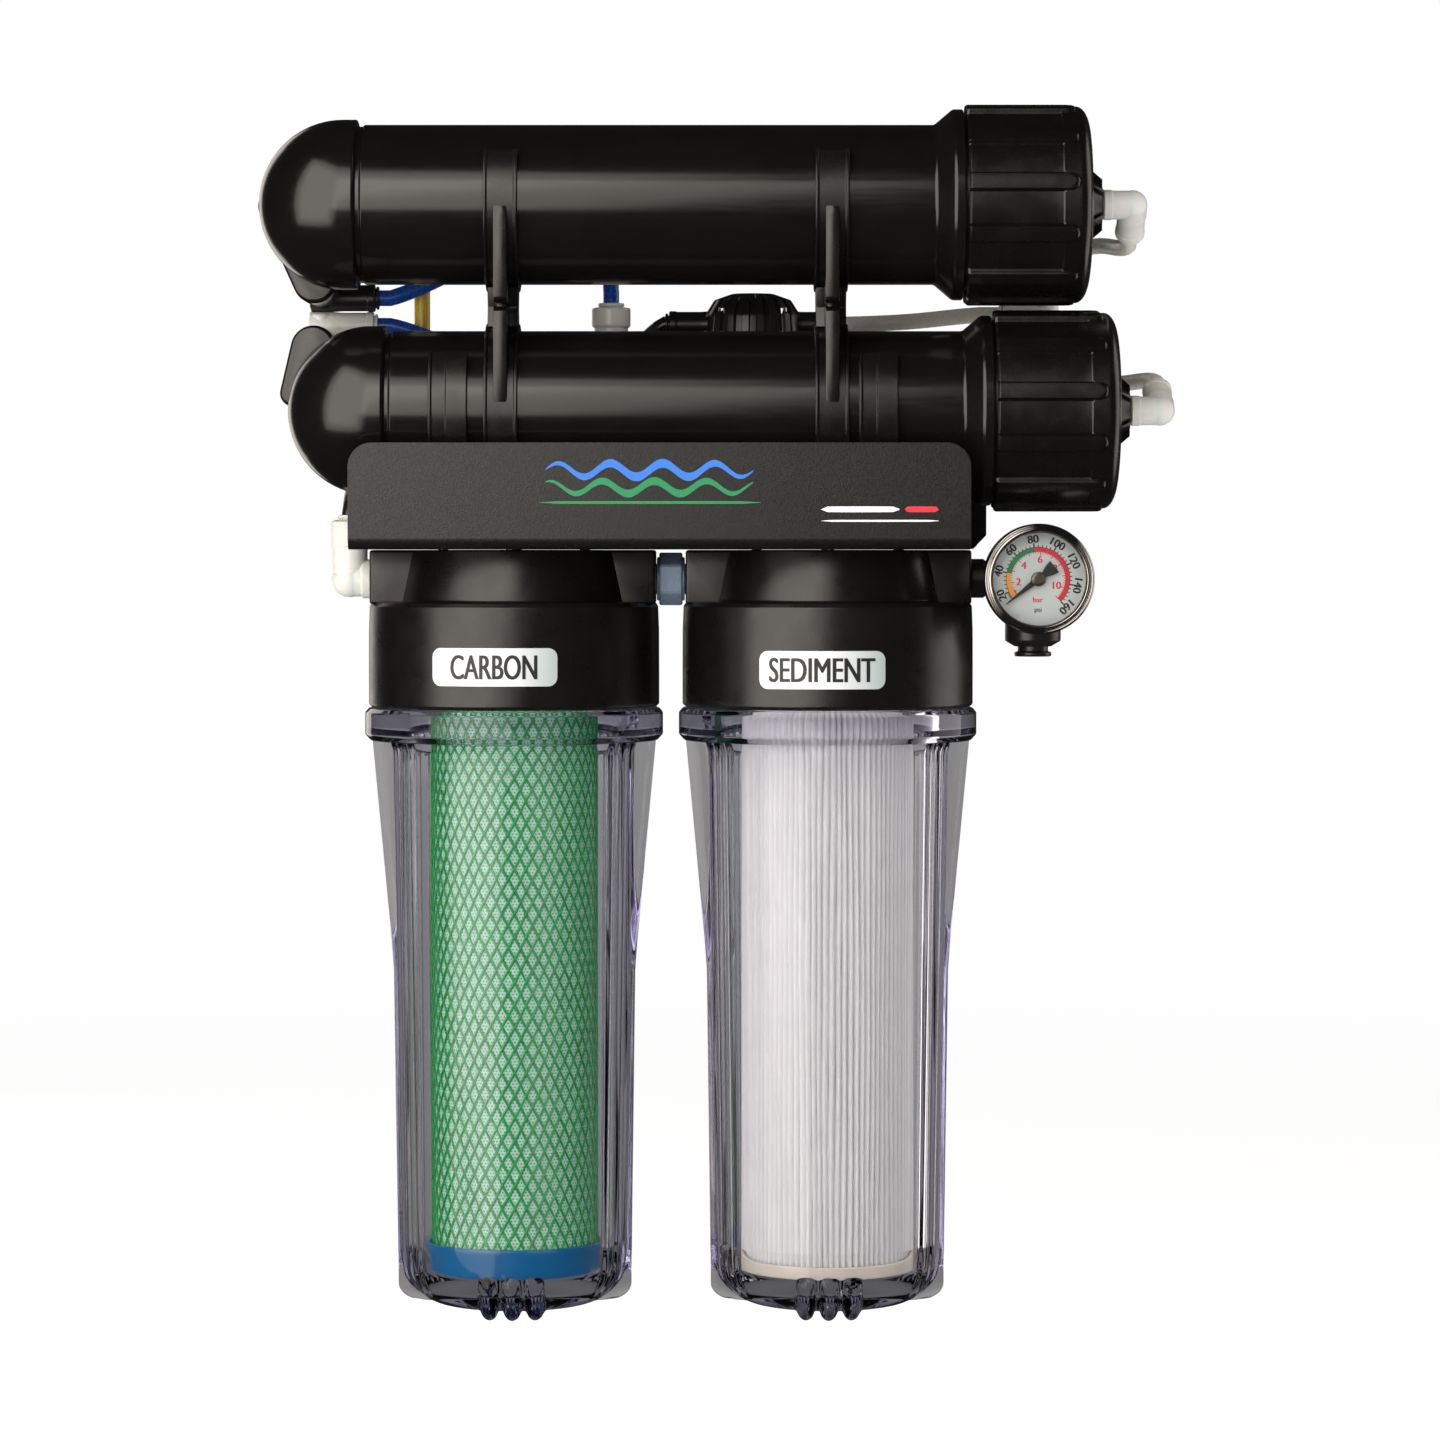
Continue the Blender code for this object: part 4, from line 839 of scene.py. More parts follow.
def build_net(look):
    """The extruded net: two sets of strands wound opposite ways, one just outside the other."""
    strands, wide, tall = 45, 4.5, 8.7
    low, high, steps = MEDIA_LOW - 0.2, MEDIA_HIGH + 0.2, 72
    points, faces = [], []
    section = [(0.54, 0.0), (0.3, 0.3), (-0.3, 0.3), (-0.54, 0.0), (0.0, -0.2)]
    rate = (wide / tall) / 32.8
    for way in (-1, 1):
        for strand in range(strands):
            first = len(points)
            for step in range(steps + 1):
                z = low + (high - low) * step / steps
                wander = 0.35 * rate * math.sin(z * 0.11 + strand)
                angle = 2 * math.pi * strand / strands + way * rate * (z - low) + wander
                radius = 32.62 + (0.16 if way > 0 else 0.0)
                for across, out in section:
                    r, a = radius + out, angle + across / radius
                    x, y = -FILTER_X + r * math.cos(a), AXIS_Y + r * math.sin(a)
                    points.append((x * MM, y * MM, z * MM))
            count = len(section)
            for step in range(steps):
                base = first + step * count
                for side in range(count):
                    after = (side + 1) % count
                    faces.append((base + side, base + after, base + count + after, base + count + side))
            faces.append(tuple(range(first, first + count)))
            faces.append(tuple(range(first + steps * count, first + (steps + 1) * count)))
    data = bpy.data.meshes.new("green_net")
    data.from_pydata(points, [], faces)
    data.update()
    mesh = bmesh.new()
    mesh.from_mesh(data)
    bmesh.ops.recalc_face_normals(mesh, faces=mesh.faces)
    mesh.to_mesh(data)
    mesh.free()
    data.shade_smooth()
    data.materials.append(look)
    return stand("green_net", data)


def build_carbon_cartridge(looks):
    tall = MEDIA_HIGH - MEDIA_LOW
    wall = [(WRAP_R, MEDIA_LOW + tall * step / 60) for step in range(61)]
    outline = [(12.5, MEDIA_LOW)] + wall + [(12.5, MEDIA_HIGH)]

    def soft(radius, height, angle):
        """A wrap that isn't quite round."""
        ripple = 0.07 * math.sin(7 * angle + height * 0.021) + 0.05 * math.sin(13 * angle - height * 0.05)
        return (radius + ripple if radius > 30 else radius), height

    wrap = lathe(
        "carbon_wrap_sleeve", outline, looks["wrap"], at=(-FILTER_X, AXIS_Y, 0), count=144, shape=soft,
    )
    dress(wrap, "carbon_cartridge", "carbon_wrap", "carbon_block")
    dress(build_net(looks["net"]), "carbon_cartridge", "carbon_wrap")
    build_end_caps("carbon", -FILTER_X, looks["blue"], "blue_plastic", 33.4, 35.0, (-293.0, -71.0))


def build_sediment_cartridge(looks):
    pleats, samples = 90, 8
    tall, rows = MEDIA_HIGH - MEDIA_LOW, 26
    angles = [2 * math.pi * step / (pleats * samples) for step in range(pleats * samples)]
    wall = [(34.0, MEDIA_LOW + tall * step / rows) for step in range(rows + 1)]
    outline = [(14.0, MEDIA_LOW)] + wall + [(14.0, MEDIA_HIGH)]

    def folded(radius, height, angle):
        """Pleats with round tips that lean and wander a little."""
        if radius < 30:
            return radius, height
        which = angle * pleats / (2 * math.pi)
        sway = 0.16 * math.sin(height * 0.017 + 2.1 * math.sin(which * 0.37))
        lean = sway + 0.05 * math.sin(height * 0.06 + which)
        phase = math.pi * (which + lean)
        tip = abs(math.cos(phase)) ** 0.55
        uneven = 0.30 * math.sin(which * 1.7) * math.sin(height * 0.02 + which)
        return radius - 2.8 * (1 - tip) + 0.25 * uneven, height

    media = lathe(
        "pleated_sleeve", outline, looks["pleat"], at=(FILTER_X, AXIS_Y, 0), angles=angles, shape=folded,
        sharp=75.0
    )
    dress(media, "sediment_cartridge", "pleated_cloth", "pleated_media")
    build_end_caps("sediment", FILTER_X, looks["cream"], "cream_plastic", 34.4, 35.6, (-300.0, -66.0))


# Fittings and tubes -------------------------------------------------------------------------------

def socket(name, start, along, length, radius, look):
    """One arm of a push-in fitting: a tapered barrel with a rolled lip and a collet in its mouth."""
    outline = [
        (0, 0), (radius, 0), (radius, length * 0.35, 1.5), (radius * 0.95, length * 0.5, 1.5),
        (radius * 0.95, length - 3.2, 0.6), (radius, length - 2.6, 0.5), (radius, length, 0.7),
        (radius - 1.3, length, 0.3), (radius - 1.3, length - 6), (0, length - 6),
    ]
    tip = [
        (LINE_R + 0.15, length - 3), (LINE_R + 0.15, length + 1.5, 0.3), (radius - 0.9, length + 1.5, 0.4),
        (radius - 0.9, length + 0.5, 0.3), (radius - 1.6, length + 0.4), (radius - 1.6, length - 3),
    ]
    return [
        turned(f"{name}_arm", start, along, outline, look), turned(f"{name}_collet", start, along, tip, look),
    ]


def ball(name, centre, radius, look):
    """The rounded heel where the arms of an elbow or a tee meet."""
    steps = 10
    outline = [(0, -radius)] + [
        (radius * math.sin(math.pi * step / steps), -radius * math.cos(math.pi * step / steps))
        for step in range(1, steps)
    ] + [(0, radius)]
    return turned(name, centre, (0, 0, 1), outline, look, 40)


def stem(name, start, along, length, radius, look, turns):
    """A threaded stem, whose thread is drawn as this many rings."""
    outline = [(0, 0), (radius - 0.8, 0)]
    pitch = length / (turns + 0.5)
    for turn in range(turns):
        at = pitch * (turn + 0.25)
        outline += [(radius - 0.8, at), (radius, at + pitch * 0.3, 0.1), (radius, at + pitch * 0.45, 0.1),
                    (radius - 0.8, at + pitch * 0.75)]
    outline += [(radius - 0.8, length), (0, length)]
    return turned(name, start, along, outline, look, 40)


def hexagon(name, start, along, length, radius, look, end_radius=None):
    """A hexagonal wrench flat with softened corners."""
    corners = []
    for corner in range(6):
        for off in (-3.0, 0.0, 3.0):
            corners.append(math.radians(60 * corner + off))
    outline = [(0, 0), (radius - 0.5, 0, 0.2), (radius, 0.6, 0.2), (end_radius or radius, length - 0.6, 0.2),
               ((end_radius or radius) - 0.5, length, 0.2), (0, length)]
    return turned(name, start, along, outline, look, sharp=24.0, angles=corners)


def build_nipple(looks):
    """The hexagonal nipple that joins the two heads: white plastic, coloured bluish grey as painted shade."""
    look = looks["grey"]
    parts = [hexagon("nipple_hex", (-4.6, AXIS_Y, PORT_Z), (1, 0, 0), 9.2, 10.4, look)]
    for side in (-1, 1):
        parts.append(turned(f"nipple_flange{side}", (side * 3.4, AXIS_Y, PORT_Z), (side, 0, 0),
                            [(0, 0), (8.6, 0), (8.6, 2.1, 0.5), (0, 2.1)], look))
        thread = (side * 5.0, AXIS_Y, PORT_Z)
        parts.append(stem(f"nipple_thread{side}", thread, (side, 0, 0), 14, 6.4, look, 8))
    dress(join("hex_nipple", parts), "root", "grey_plastic", "head_nipple")


def build_inlet(looks):
    """The black tee on the sediment head: the feed line's socket below and the gauge in front."""
    look = looks["fitting_black"]
    x, _, z = GAUGE
    face = FILTER_X + 56.3
    parts = [
        stem("inlet_thread", (face - 14, AXIS_Y, z), (1, 0, 0), 14, 6.5, look, 8),
        turned("inlet_arm", (face, AXIS_Y, z), (1, 0, 0), [
            (0, 0), (7.7, 0, 0.5), (7.7, 5, 0.5), (7.0, 6, 0.5), (7.0, 17, 0.5), (7.7, 19, 0.6),
            (7.7, 32.5, 1.6),
            (0, 33.2),
        ], look),
        turned("inlet_front", (x, AXIS_Y, z), (0, -1, 0), [
            (0, 0), (7.4, 0), (7.4, 7, 0.4), (8.1, 8, 0.4), (8.1, 12, 0.6), (5.6, 12, 0.3), (5.6, 6), (0, 6),
        ], look),
        turned("inlet_drop", (x, AXIS_Y, z + 8), (0, 0, -1), [
            (0, 0), (6.0, 0.2, 2.0), (8.2, 2.5, 1.5), (8.2, 15.5, 0.8), (11.0, 18.4, 1.2), (11.0, 32.6, 0.8),
            (7.6, 34.6, 0.5), (7.3, 34.8, 0.3), (6.3, 34.8, 0.2), (6.3, 24), (0, 24),
        ], look),
    ]
    dress(join("inlet_tee_body", parts), "root", "black_plastic", "inlet_tee")
    collet = lathe("inlet_collet_ring", [
        (3.45, -62.3, 0.3), (7.0, -62.3, 0.5), (7.3, -61.6, 0.3), (7.3, -60.7, 0.4), (6.0, -60.2, 0.3),
        (6.0, -49.0),
        (3.45, -49.0),
    ], look, at=(x, AXIS_Y, 0), count=64)
    dress(collet, "collet", "black_plastic", "inlet_collet")


def build_carbon_outlet(looks):
    """The white elbow on the carbon head and its black line to the shut-off valve."""
    look = looks["white"]
    face, z = -FILTER_X - 56.3, PORT_Z
    x = face - 8.5
    heel = (x, AXIS_Y, z)
    parts = [
        stem("outlet_thread", (face + 14, AXIS_Y, z), (-1, 0, 0), 14, 6.5, look, 8),
        turned("outlet_arm", (face, AXIS_Y, z), (-1, 0, 0), [
            (0, 0), (7.7, 0, 0.5), (7.7, 3.2, 0.5), (7.0, 4.0, 0.4), (7.0, 9), (0, 9),
        ], look),
        ball("outlet_heel", heel, 7.3, look),
        turned("outlet_rise", heel, (0, 0, 1), [
            (0, 0), (7.0, 0), (7.0, 12, 0.8), (7.6, 13.2, 0.5), (7.6, 22.6, 0.8), (5.0, 23.4, 0.3), (5.0, 12),
            (0, 12),
        ], look),
        turned("outlet_collet", heel, (0, 0, 1), [
            (3.3, 16), (3.3, 25.2, 0.3), (4.9, 25.2, 0.4), (4.9, 24.0, 0.3), (4.4, 23.8), (4.4, 16),
        ], look),
    ]
    dress(join("outlet_elbow_body", parts), "root", "white_plastic", "carbon_outlet_elbow")
    left_port = VALVE_X - VALVE_R
    route = [
        (x, AXIS_Y, -18), (x, AXIS_Y, -6), (x + 3, AXIS_Y + 20, 6), (x + 26, AXIS_Y + 47, 6),
        (x + 70, AXIS_Y + 49, 12), (-28, AXIS_Y + 48, 45), (left_port - 15, VALVE_Y, COVER_PORT_Z),
        (left_port - 4, VALVE_Y, COVER_PORT_Z),
    ]
    dress(tube("outlet_line", route, looks["tube_black"]), "root", "black_tubing", "carbon_outlet_tube")


def build_feed_side(looks):
    """An elbow on each cap, the tee between them and their white lines."""
    white = looks["white"]
    for place, shift, z, lean, side in (
        ("upper", 0.0, UPPER_Z, -38.0, 1), ("lower", LOWER_SHIFT, LOWER_Z, 30.0, -1),
    ):
        corner = Vector((ELBOW_X + shift, HOUSING_Y, z))
        leg = Vector((0, math.cos(math.radians(lean)), math.sin(math.radians(lean))))
        base = Vector((PLUG_X + 6.0 + shift, HOUSING_Y, z))
        parts = [
            stem(f"{place}_elbow_thread", base - Vector((9, 0, 0)), (1, 0, 0), 9.5, 4.6, white, 5),
            turned(f"{place}_elbow_arm", base, (1, 0, 0), [
                (0, 0), (5.9, 0, 0.4), (5.9, 3.0, 0.4), (5.6, 3.6, 0.3), (5.6, 12), (0, 12)], white),
            ball(f"{place}_elbow_heel", corner, 5.8, white),
        ]
        parts += socket(f"{place}_elbow", corner, leg, 17, 5.8, white)
        dress(join(f"{place}_cap_elbow", parts), "root", "white_plastic", f"{place}_feed_elbow")
        out = corner + leg * 24
        port = FEED_TEE + Vector((0, 0, side * 10))
        bend = (out + port) / 2 + Vector((4, 6, side * 9))
        route = [corner + leg * 10, out, bend, port + Vector((0, 0, side * 13)), port]
        line = tube(f"{place}_feed_line", route, looks["tube_white"])
        dress(line, "root", "white_tubing", f"{place}_feed_tube")
    parts = [ball("feed_tee_heel", FEED_TEE, 5.4, white)]
    for index, along in enumerate(((0, 0, 1), (0, 0, -1), (-1, 0, 0))):
        parts += socket(f"feed_tee{index}", FEED_TEE, along, 17, 5.4, white)
    dress(join("feed_tee_body", parts), "root", "white_plastic", "feed_tee")
    right_port = VALVE_X + VALVE_R + 4
    route = [
        (right_port, VALVE_Y, COVER_PORT_Z), (right_port + 14, VALVE_Y, COVER_PORT_Z), (95, VALVE_Y - 2, 71),
        (FEED_TEE.x - 26, FEED_TEE.y, FEED_TEE.z), (FEED_TEE.x - 10, FEED_TEE.y, FEED_TEE.z),
    ]
    dress(tube("supply_line", route, looks["tube_white"]), "root", "white_tubing", "feed_supply_tube")


def build_valve(looks):
    """The shut-off valve: two ribbed domes that meet at a flange, each with two sockets."""
    look = looks["fitting_black"]
    at = (VALVE_X, VALVE_Y, 0)
    ribs = 20

    def ribbed(radius, height, angle):
        """Upright ribs that stop short of the flange."""
        if radius < 13.5 or not (36 < height < 81):
            return radius, height
        near = abs(((angle * ribs / (2 * math.pi)) % 1.0) - 0.5) * 2
        seam = min(1.0, max(0.0, (abs(height - 58.0) - 4.0) / 1.5))
        raised = 1.0 if near < 0.42 else max(0.0, 1 - (near - 0.42) / 0.12)
        return radius + 1.5 * seam * raised - 0.6 * seam, height

    shares = (0, 0.2, 0.24, 0.29, 0.5, 0.71, 0.76, 0.8)
    steps = [2 * math.pi * (rib + share) / ribs for rib in range(ribs) for share in shares]
    dome = [
        (0, 82.3), (8.5, 82.1, 2.0), (14.5, 79.6, 2.0), (18.4, 73.5, 3.0), (19.0, 68.0), (19.0, 63.8),
        (19.3, 62.2, 0.5),
        (20.5, 61.6, 0.4), (20.5, 58.3, 0.4), (14, 58.3), (14, 64), (0, 66),
    ]
    base = [
        (0, 34), (11.5, 34.0, 1.2), (17.6, 38.6, 3.0), (19.0, 43.0), (19.0, 52.0), (19.3, 53.8, 0.5),
        (20.5, 54.4, 0.4),
        (20.5, 57.7, 0.4), (14, 57.7), (14, 54), (0, 53),
    ]
    for name, outline, z, reach in (
        ("shutoff_valve_cover", dome, COVER_PORT_Z, (-13, 11)),
        ("shutoff_valve_base", base, BASE_PORT_Z, (-5, 11)),
    ):
        parts = [lathe(f"{name}_shell", outline, look, at=at, angles=steps, shape=ribbed, sharp=30)]
        for side, length in ((-1, VALVE_R - reach[0] - 8), (1, VALVE_R + reach[1] - 8)):
            start = (VALVE_X + side * 8, VALVE_Y, z)
            parts += socket(f"{name}_{side}", start, (side, 0, 0), length, 5.3, look)
        dress(join(f"{name}_body", parts), "root", "black_plastic", name)
    screws = []
    outline = [(0, 70.0), (1.8, 70), (1.8, 76.3, 0.5), (0, 76.6)]
    for turn in range(4):
        angle = math.radians(45 + 90 * turn)
        x, y = VALVE_X + 16.8 * math.cos(angle), VALVE_Y + 16.8 * math.sin(angle)
        screws.append(lathe(f"valve_screw{turn}", outline, looks["steel"], at=(x, y, 0), count=24))
    dress(join("valve_screws", screws), "root", "steel")


def build_product_side(looks):
    """The elbows behind the housings, the tee that joins them and the three blue lines."""
    rear, y = PORT_FACE_Y, PORT_FACE_Y + 13
    upper_z, lower_z = UPPER_Z - 34, LOWER_Z + 35
    for place, (x, z), look, turn_z in (
        ("upper", UPPER_LOBE, looks["fitting_black"], upper_z),
        ("lower", LOWER_LOBE, looks["white"], lower_z),
    ):
        heel = Vector((x, y, turn_z))
        parts = [
            stem(f"{place}_product_thread", (x, rear - 10, z), (0, 1, 0), 10.6, 4.2, look, 6),
            turned(f"{place}_product_arm", (x, rear + 0.3, z), (0, 1, 0), [
                (0, 0), (5.3, 0, 0.4), (5.3, 16.0, 1.5), (0, 16.6)], look),
            turned(f"{place}_product_post", (x, y, z), (0, 0, 1 if turn_z > z else -1), [
                (0, 0), (5.2, 0), (5.2, abs(turn_z - z) + 4.6, 1.5), (0, abs(turn_z - z) + 5.2)], look),
        ]
        parts += socket(f"{place}_product", heel - Vector((4.5, 0, 0)), (1, 0, 0), 25.5, 5.5, look)
        slot = "black_plastic" if place == "upper" else "white_plastic"
        dress(join(f"{place}_port_elbow", parts), "root", slot, f"{place}_product_elbow")
    tee, white, blue = PRODUCT_TEE, looks["white"], looks["tube_blue"]
    parts = socket("product_tee_left", tee + Vector((2, 0, 0)), (-1, 0, 0), 18, 5.3, white)
    parts += socket("product_tee_right", tee - Vector((2, 0, 0)), (1, 0, 0), 14, 5.3, white)
    parts.append(turned("product_tee_run", tee - Vector((0, 0, 7)), (0, 0, 1), [
        (0, 0), (7.7, 0, 1.0), (7.7, 20, 0.8), (6.7, 21, 0.5), (6.7, 27, 0.5), (7.7, 28, 0.6), (7.7, 35, 0.8),
        (5.4, 35.4, 0.3),
        (5.4, 28), (0, 28),
    ], white))
    parts.append(turned("product_tee_collet", tee + Vector((0, 0, 20)), (0, 0, 1), [
        (3.35, 0), (3.35, 10.0, 0.3), (5.2, 10.0, 0.4), (5.2, 8.8, 0.3), (4.7, 8.6), (4.7, 0)], white))
    dress(join("product_tee_body", parts), "root", "white_plastic", "product_tee")
    left_port = VALVE_X - VALVE_R
    for name, route, node in (
        ("link_line", [tee + Vector((6, 0, 0)), tee + Vector((13, 0, 0)),
                       (left_port - 6, VALVE_Y, BASE_PORT_Z),
                       (left_port, VALVE_Y, BASE_PORT_Z)], "product_link_tube"),
        ("upper_product_line", [
            (-127, y, upper_z), (-112, y, upper_z), (-84, y + 3, 92), (-52, y + 8, 106), (-28, y + 10, 101),
            tee + Vector((0, 0, 34)), tee + Vector((0, 0, 16))], "upper_product_tube"),
        ("lower_product_line", [
            (-127, y, lower_z), (-112, y, lower_z), (-86, y + 2, 60), (-62, y + 6, 51),
            tee + Vector((-26, 0, 0)),
            tee + Vector((-10, 0, 0))], "lower_product_tube"),
    ):
        dress(tube(name, route, blue), "root", "blue_tubing", node)


def build_reject_side(looks):
    """The upper reject elbow, the drain tee below it and the yellow line between them."""
    white = looks["white"]
    x, y, thread, wall = REJECT_X, REJECT_Y, HOUSING_Y + 28.4, HOUSING_Y + 31.3
    for place, z, name, node in (
        ("upper", UPPER_Z, "reject_elbow_body", "upper_reject_elbow"),
        ("lower", LOWER_Z, "drain_tee_body", "drain_tee"),
    ):
        heel = Vector((x, y, z))
        parts = [
            stem(f"{place}_reject_thread", (x, thread, z), (0, 1, 0), 3.2, 4.2, white, 2),
            turned(f"{place}_reject_arm", (x, wall, z), (0, 1, 0), [
                (0, 0), (5.3, 0, 0.4), (5.3, 8, 0.6), (4.8, 9, 0.4), (4.8, y - wall), (0, y - wall),
            ], white),
            ball(f"{place}_reject_heel", heel, 5.3, white),
        ]
        up = Vector((0, 0, -1 if place == "upper" else 1))
        parts += socket(f"{place}_reject", heel, up, 17, 5.3, white)
        if place == "lower":
            parts += socket("drain_port", heel, (-1, 0, 0), 18, 5.3, white)
        dress(join(name, parts), "root", "white_plastic", node)
    heights = (UPPER_Z - 9, UPPER_Z - 22, LOWER_Z + 22, LOWER_Z + 9)
    line = tube("reject_line", [(x, y, z) for z in heights], looks["tube_yellow"])
    dress(line, "root", "yellow_tubing", "reject_tube")


# Membrane housings --------------------------------------------------------------------------------

def hull_of_circles(first, first_r, second, second_r):
    """The outline round two circles, as (x, z) points."""
    steps = 20
    apart = Vector(second) - Vector(first)
    along = math.degrees(math.atan2(apart.y, apart.x))
    lean = math.degrees(math.acos((first_r - second_r) / apart.length))
    return arc(first, first_r, along + lean, along + 360 - lean, steps) + arc(
        second, second_r, along - lean, along + lean, steps
    )


def build_housing(place, shift, z, lobe, lobe_r, nub, nub_r, looks):
    """A domed tube with a collar for its cap, and a bar behind the dome that carries the product port."""
    look = looks["housing"]
    dome_r, dome_x = 33.0, -127.0
    dome = [(dome_r * math.cos(t), dome_x - dome_r * math.sin(t)) for t in (
        math.radians(90 - 4.5 * step) for step in range(1, 20))]
    stations = [(31.0, x) for x in (-117.5, -80, -40, 0, 40, 80, 101)]
    outline = (
        [(0, dome_x - dome_r)] + dome
        + [(33.0, -127), (33.0, -121.6, 0.8), (30.3, -120.9, 0.35), (30.3, -119.3, 0.35), (31.0, -118.6, 0.4)]
        + stations + [(31.0, 102.6, 3.0), (36.6, 109.2, 1.5), (37.0, 110.2, 0.8), (37.0, 113.6, 0.6),
                      (35.2, 114.0),
                      (35.2, 138.9, 0.6), (27.5, 138.9, 0.4), (27.5, -126), (20, -142), (9.2, -146),
                      (9.2, -153), (0, -153)]
    )
    name = f"{place}_housing"
    shell = lathe(f"{name}_shell", outline, look, "X", (shift, HOUSING_Y, z), count=144)
    around = hull_of_circles(lobe, lobe_r, nub, nub_r)
    bar = plate(f"{name}_port", around, HOUSING_Y + 4, PORT_FACE_Y, look, "Y", 1.6, segments=5)
    boolean(shell, "UNION", [bar])
    clearing = lathe(f"{name}_clearing", [
        (0, -152.9), (9.1, -152.9), (9.1, -145.8), (19.8, -141.8), (27.4, -126), (27.4, -60), (0, -60),
    ], look, "X", (shift, HOUSING_Y, z), count=96)
    cutters = [clearing]
    for hole, start, deep in (
        ("hole", (lobe[0], PORT_FACE_Y + 5, lobe[1]), 17), ("drain", (REJECT_X, PORT_FACE_Y + 7, z), 20),
    ):
        bore = [(0, 0), (4.7, 0), (4.7, deep), (0, deep)]
        cutters.append(turned(f"{name}_{hole}", start, (0, -1, 0), bore, look, 40))
    boolean(shell, "DIFFERENCE", cutters, 26)
    dress(shell, "root", "black_gloss", f"{place}_membrane_housing")


CAP_R, CAP_RIBS, FIRST_RIB = 38.1, 12, 110.0
RIB_STEP = 360.0 / CAP_RIBS


def cap_shape(radius, height, angle):
    """Raised ribs with rounded ends, and a shallow hollow between each two."""
    if radius < CAP_R - 1.1:
        return radius, height
    off = (math.degrees(angle) - FIRST_RIB) % RIB_STEP
    off = math.radians(min(off, RIB_STEP - off)) * CAP_R
    rib_end, half = 153.6, 3.0
    if height > rib_end:
        off = math.hypot(off, height - rib_end)
    rise = 0.0
    if off < half + 0.45:
        rise = 1.45 * min(1.0, (half + 0.45 - off) / 0.7) ** 0.6 if off > half - 0.25 else 1.45
    hollow = 0.0
    if height < 151.4 and off > half + 0.45:
        hollow = 0.45 * min(1.0, (off - half - 0.45) / 0.4, (151.4 - height) / 0.5)
    return radius + rise - hollow, height


def build_cap(place, shift, z, looks):
    """The screw cap of a housing, and the plug with its hexagon and fins in the middle of it."""
    look = looks["cap"]
    at = (shift, HOUSING_Y, z)
    walls = [116.0, 116.4, 116.9, 117.4, 130, 145, 150.6, 150.95, 151.4, 151.9, 153.6, 154.2, 154.8, 155.3,
             155.7,
             156.0, 156.3, 156.6, 156.9, 157.3, 157.6]
    curve = [(29.0 + 9.1 * math.cos(math.radians(9 * step)), 157.6 + 5.1 * math.sin(math.radians(9 * step)))
             for step in range(1, 11)]
    outline = (
        [(35.7, 114.7), (37.4, 114.7, 0.4), (CAP_R, 115.6, 0.3)] + [(CAP_R, wall) for wall in walls]
        + curve + [(18.2, 162.7, 0.8), (16.6, 162.2, 0.4), (16.6, 151.5), (35.7, 151.5)]
    )
    offsets = (-15, -12, -9, -6.9, -6.4, -5.9, -5.2, -4.9, -4.55, -4.2, -3.2, -1.6)
    sector = list(offsets) + [0.0] + [-off for off in reversed(offsets[1:])]
    angles = [math.radians(FIRST_RIB + RIB_STEP * rib + off) for rib in range(CAP_RIBS) for off in sector]
    cap = lathe(f"{place}_cap_nut", outline, look, "X", at, angles=angles, shape=cap_shape, sharp=38.0)
    dress(cap, f"{place}_cap", "black_plastic", f"{place}_housing_cap")
    side = (1, 0, 0)
    base = Vector((PLUG_X + shift, HOUSING_Y, z))
    parts = [
        lathe(f"{place}_plug_core", [
            (0, 145), (9.2, 145), (9.2, 131.5), (26.9, 131.5), (26.9, 139.3), (34.7, 139.3), (34.7, 151.2),
            (16, 151.2),
            (16, 162.5, 0.5), (5.1, 162.9), (5.1, 156), (0, 156),
        ], look, "X", at, count=96),
        hexagon(f"{place}_plug_hex", base - Vector((0.6, 0, 0)), side, 6.1, 13.3, look, 7.9),
    ]
    for fin in range(6):
        angle = math.radians(30 + 60 * fin)
        wide = Vector((0, -math.sin(angle), math.cos(angle))) * 0.8
        reach = Vector((0, math.cos(angle), math.sin(angle)))
        mesh = bmesh.new()
        corners = [(0.0, 6.0), (0.0, 14.6), (5.5, 9.9), (5.5, 6.0)]
        rows = []
        for way in (-1, 1):
            rows.append([
                mesh.verts.new(base + Vector((x, 0, 0)) + reach * r + wide * way) for x, r in corners
            ])
        skin(mesh, rows)
        parts.append(bevel(finish(mesh, f"{place}_plug_fin{fin}", look), 0.2))
    dress(join(f"{place}_plug_body", parts), "root", "black_plastic", f"{place}_feed_plug")


def build_membrane(place, shift, z, looks):
    """The rolled membrane inside a housing."""
    outline = [
        (0, -152), (8.6, -152, 0.6), (8.6, -138), (22.8, -132, 1), (22.8, 118, 0.5), (26.4, 119, 0.5),
        (26.4, 123, 0.5),
        (22.8, 124, 0.5), (22.8, 129, 1), (8.6, 130.5), (8.6, 142, 0.6), (0, 142),
    ]
    piece = lathe(f"{place}_membrane_roll", outline, looks["wrap_film"], "X", (shift, HOUSING_Y, z), count=72)
    dress(piece, "root", "membrane_wrap", f"{place}_membrane")


def build_housings(looks):
    for place, shift, z, lobe, lobe_r, nub, nub_r in (
        ("upper", 0.0, UPPER_Z, UPPER_LOBE, 8.5, (-154.5, UPPER_Z), 6.5),
        ("lower", LOWER_SHIFT, LOWER_Z, LOWER_LOBE, 9.0, (-147.5, LOWER_Z + 7), 5.2),
    ):
        build_housing(place, shift, z, lobe, lobe_r, nub, nub_r, looks)
        build_cap(place, shift, z, looks)
        build_membrane(place, shift, z, looks)


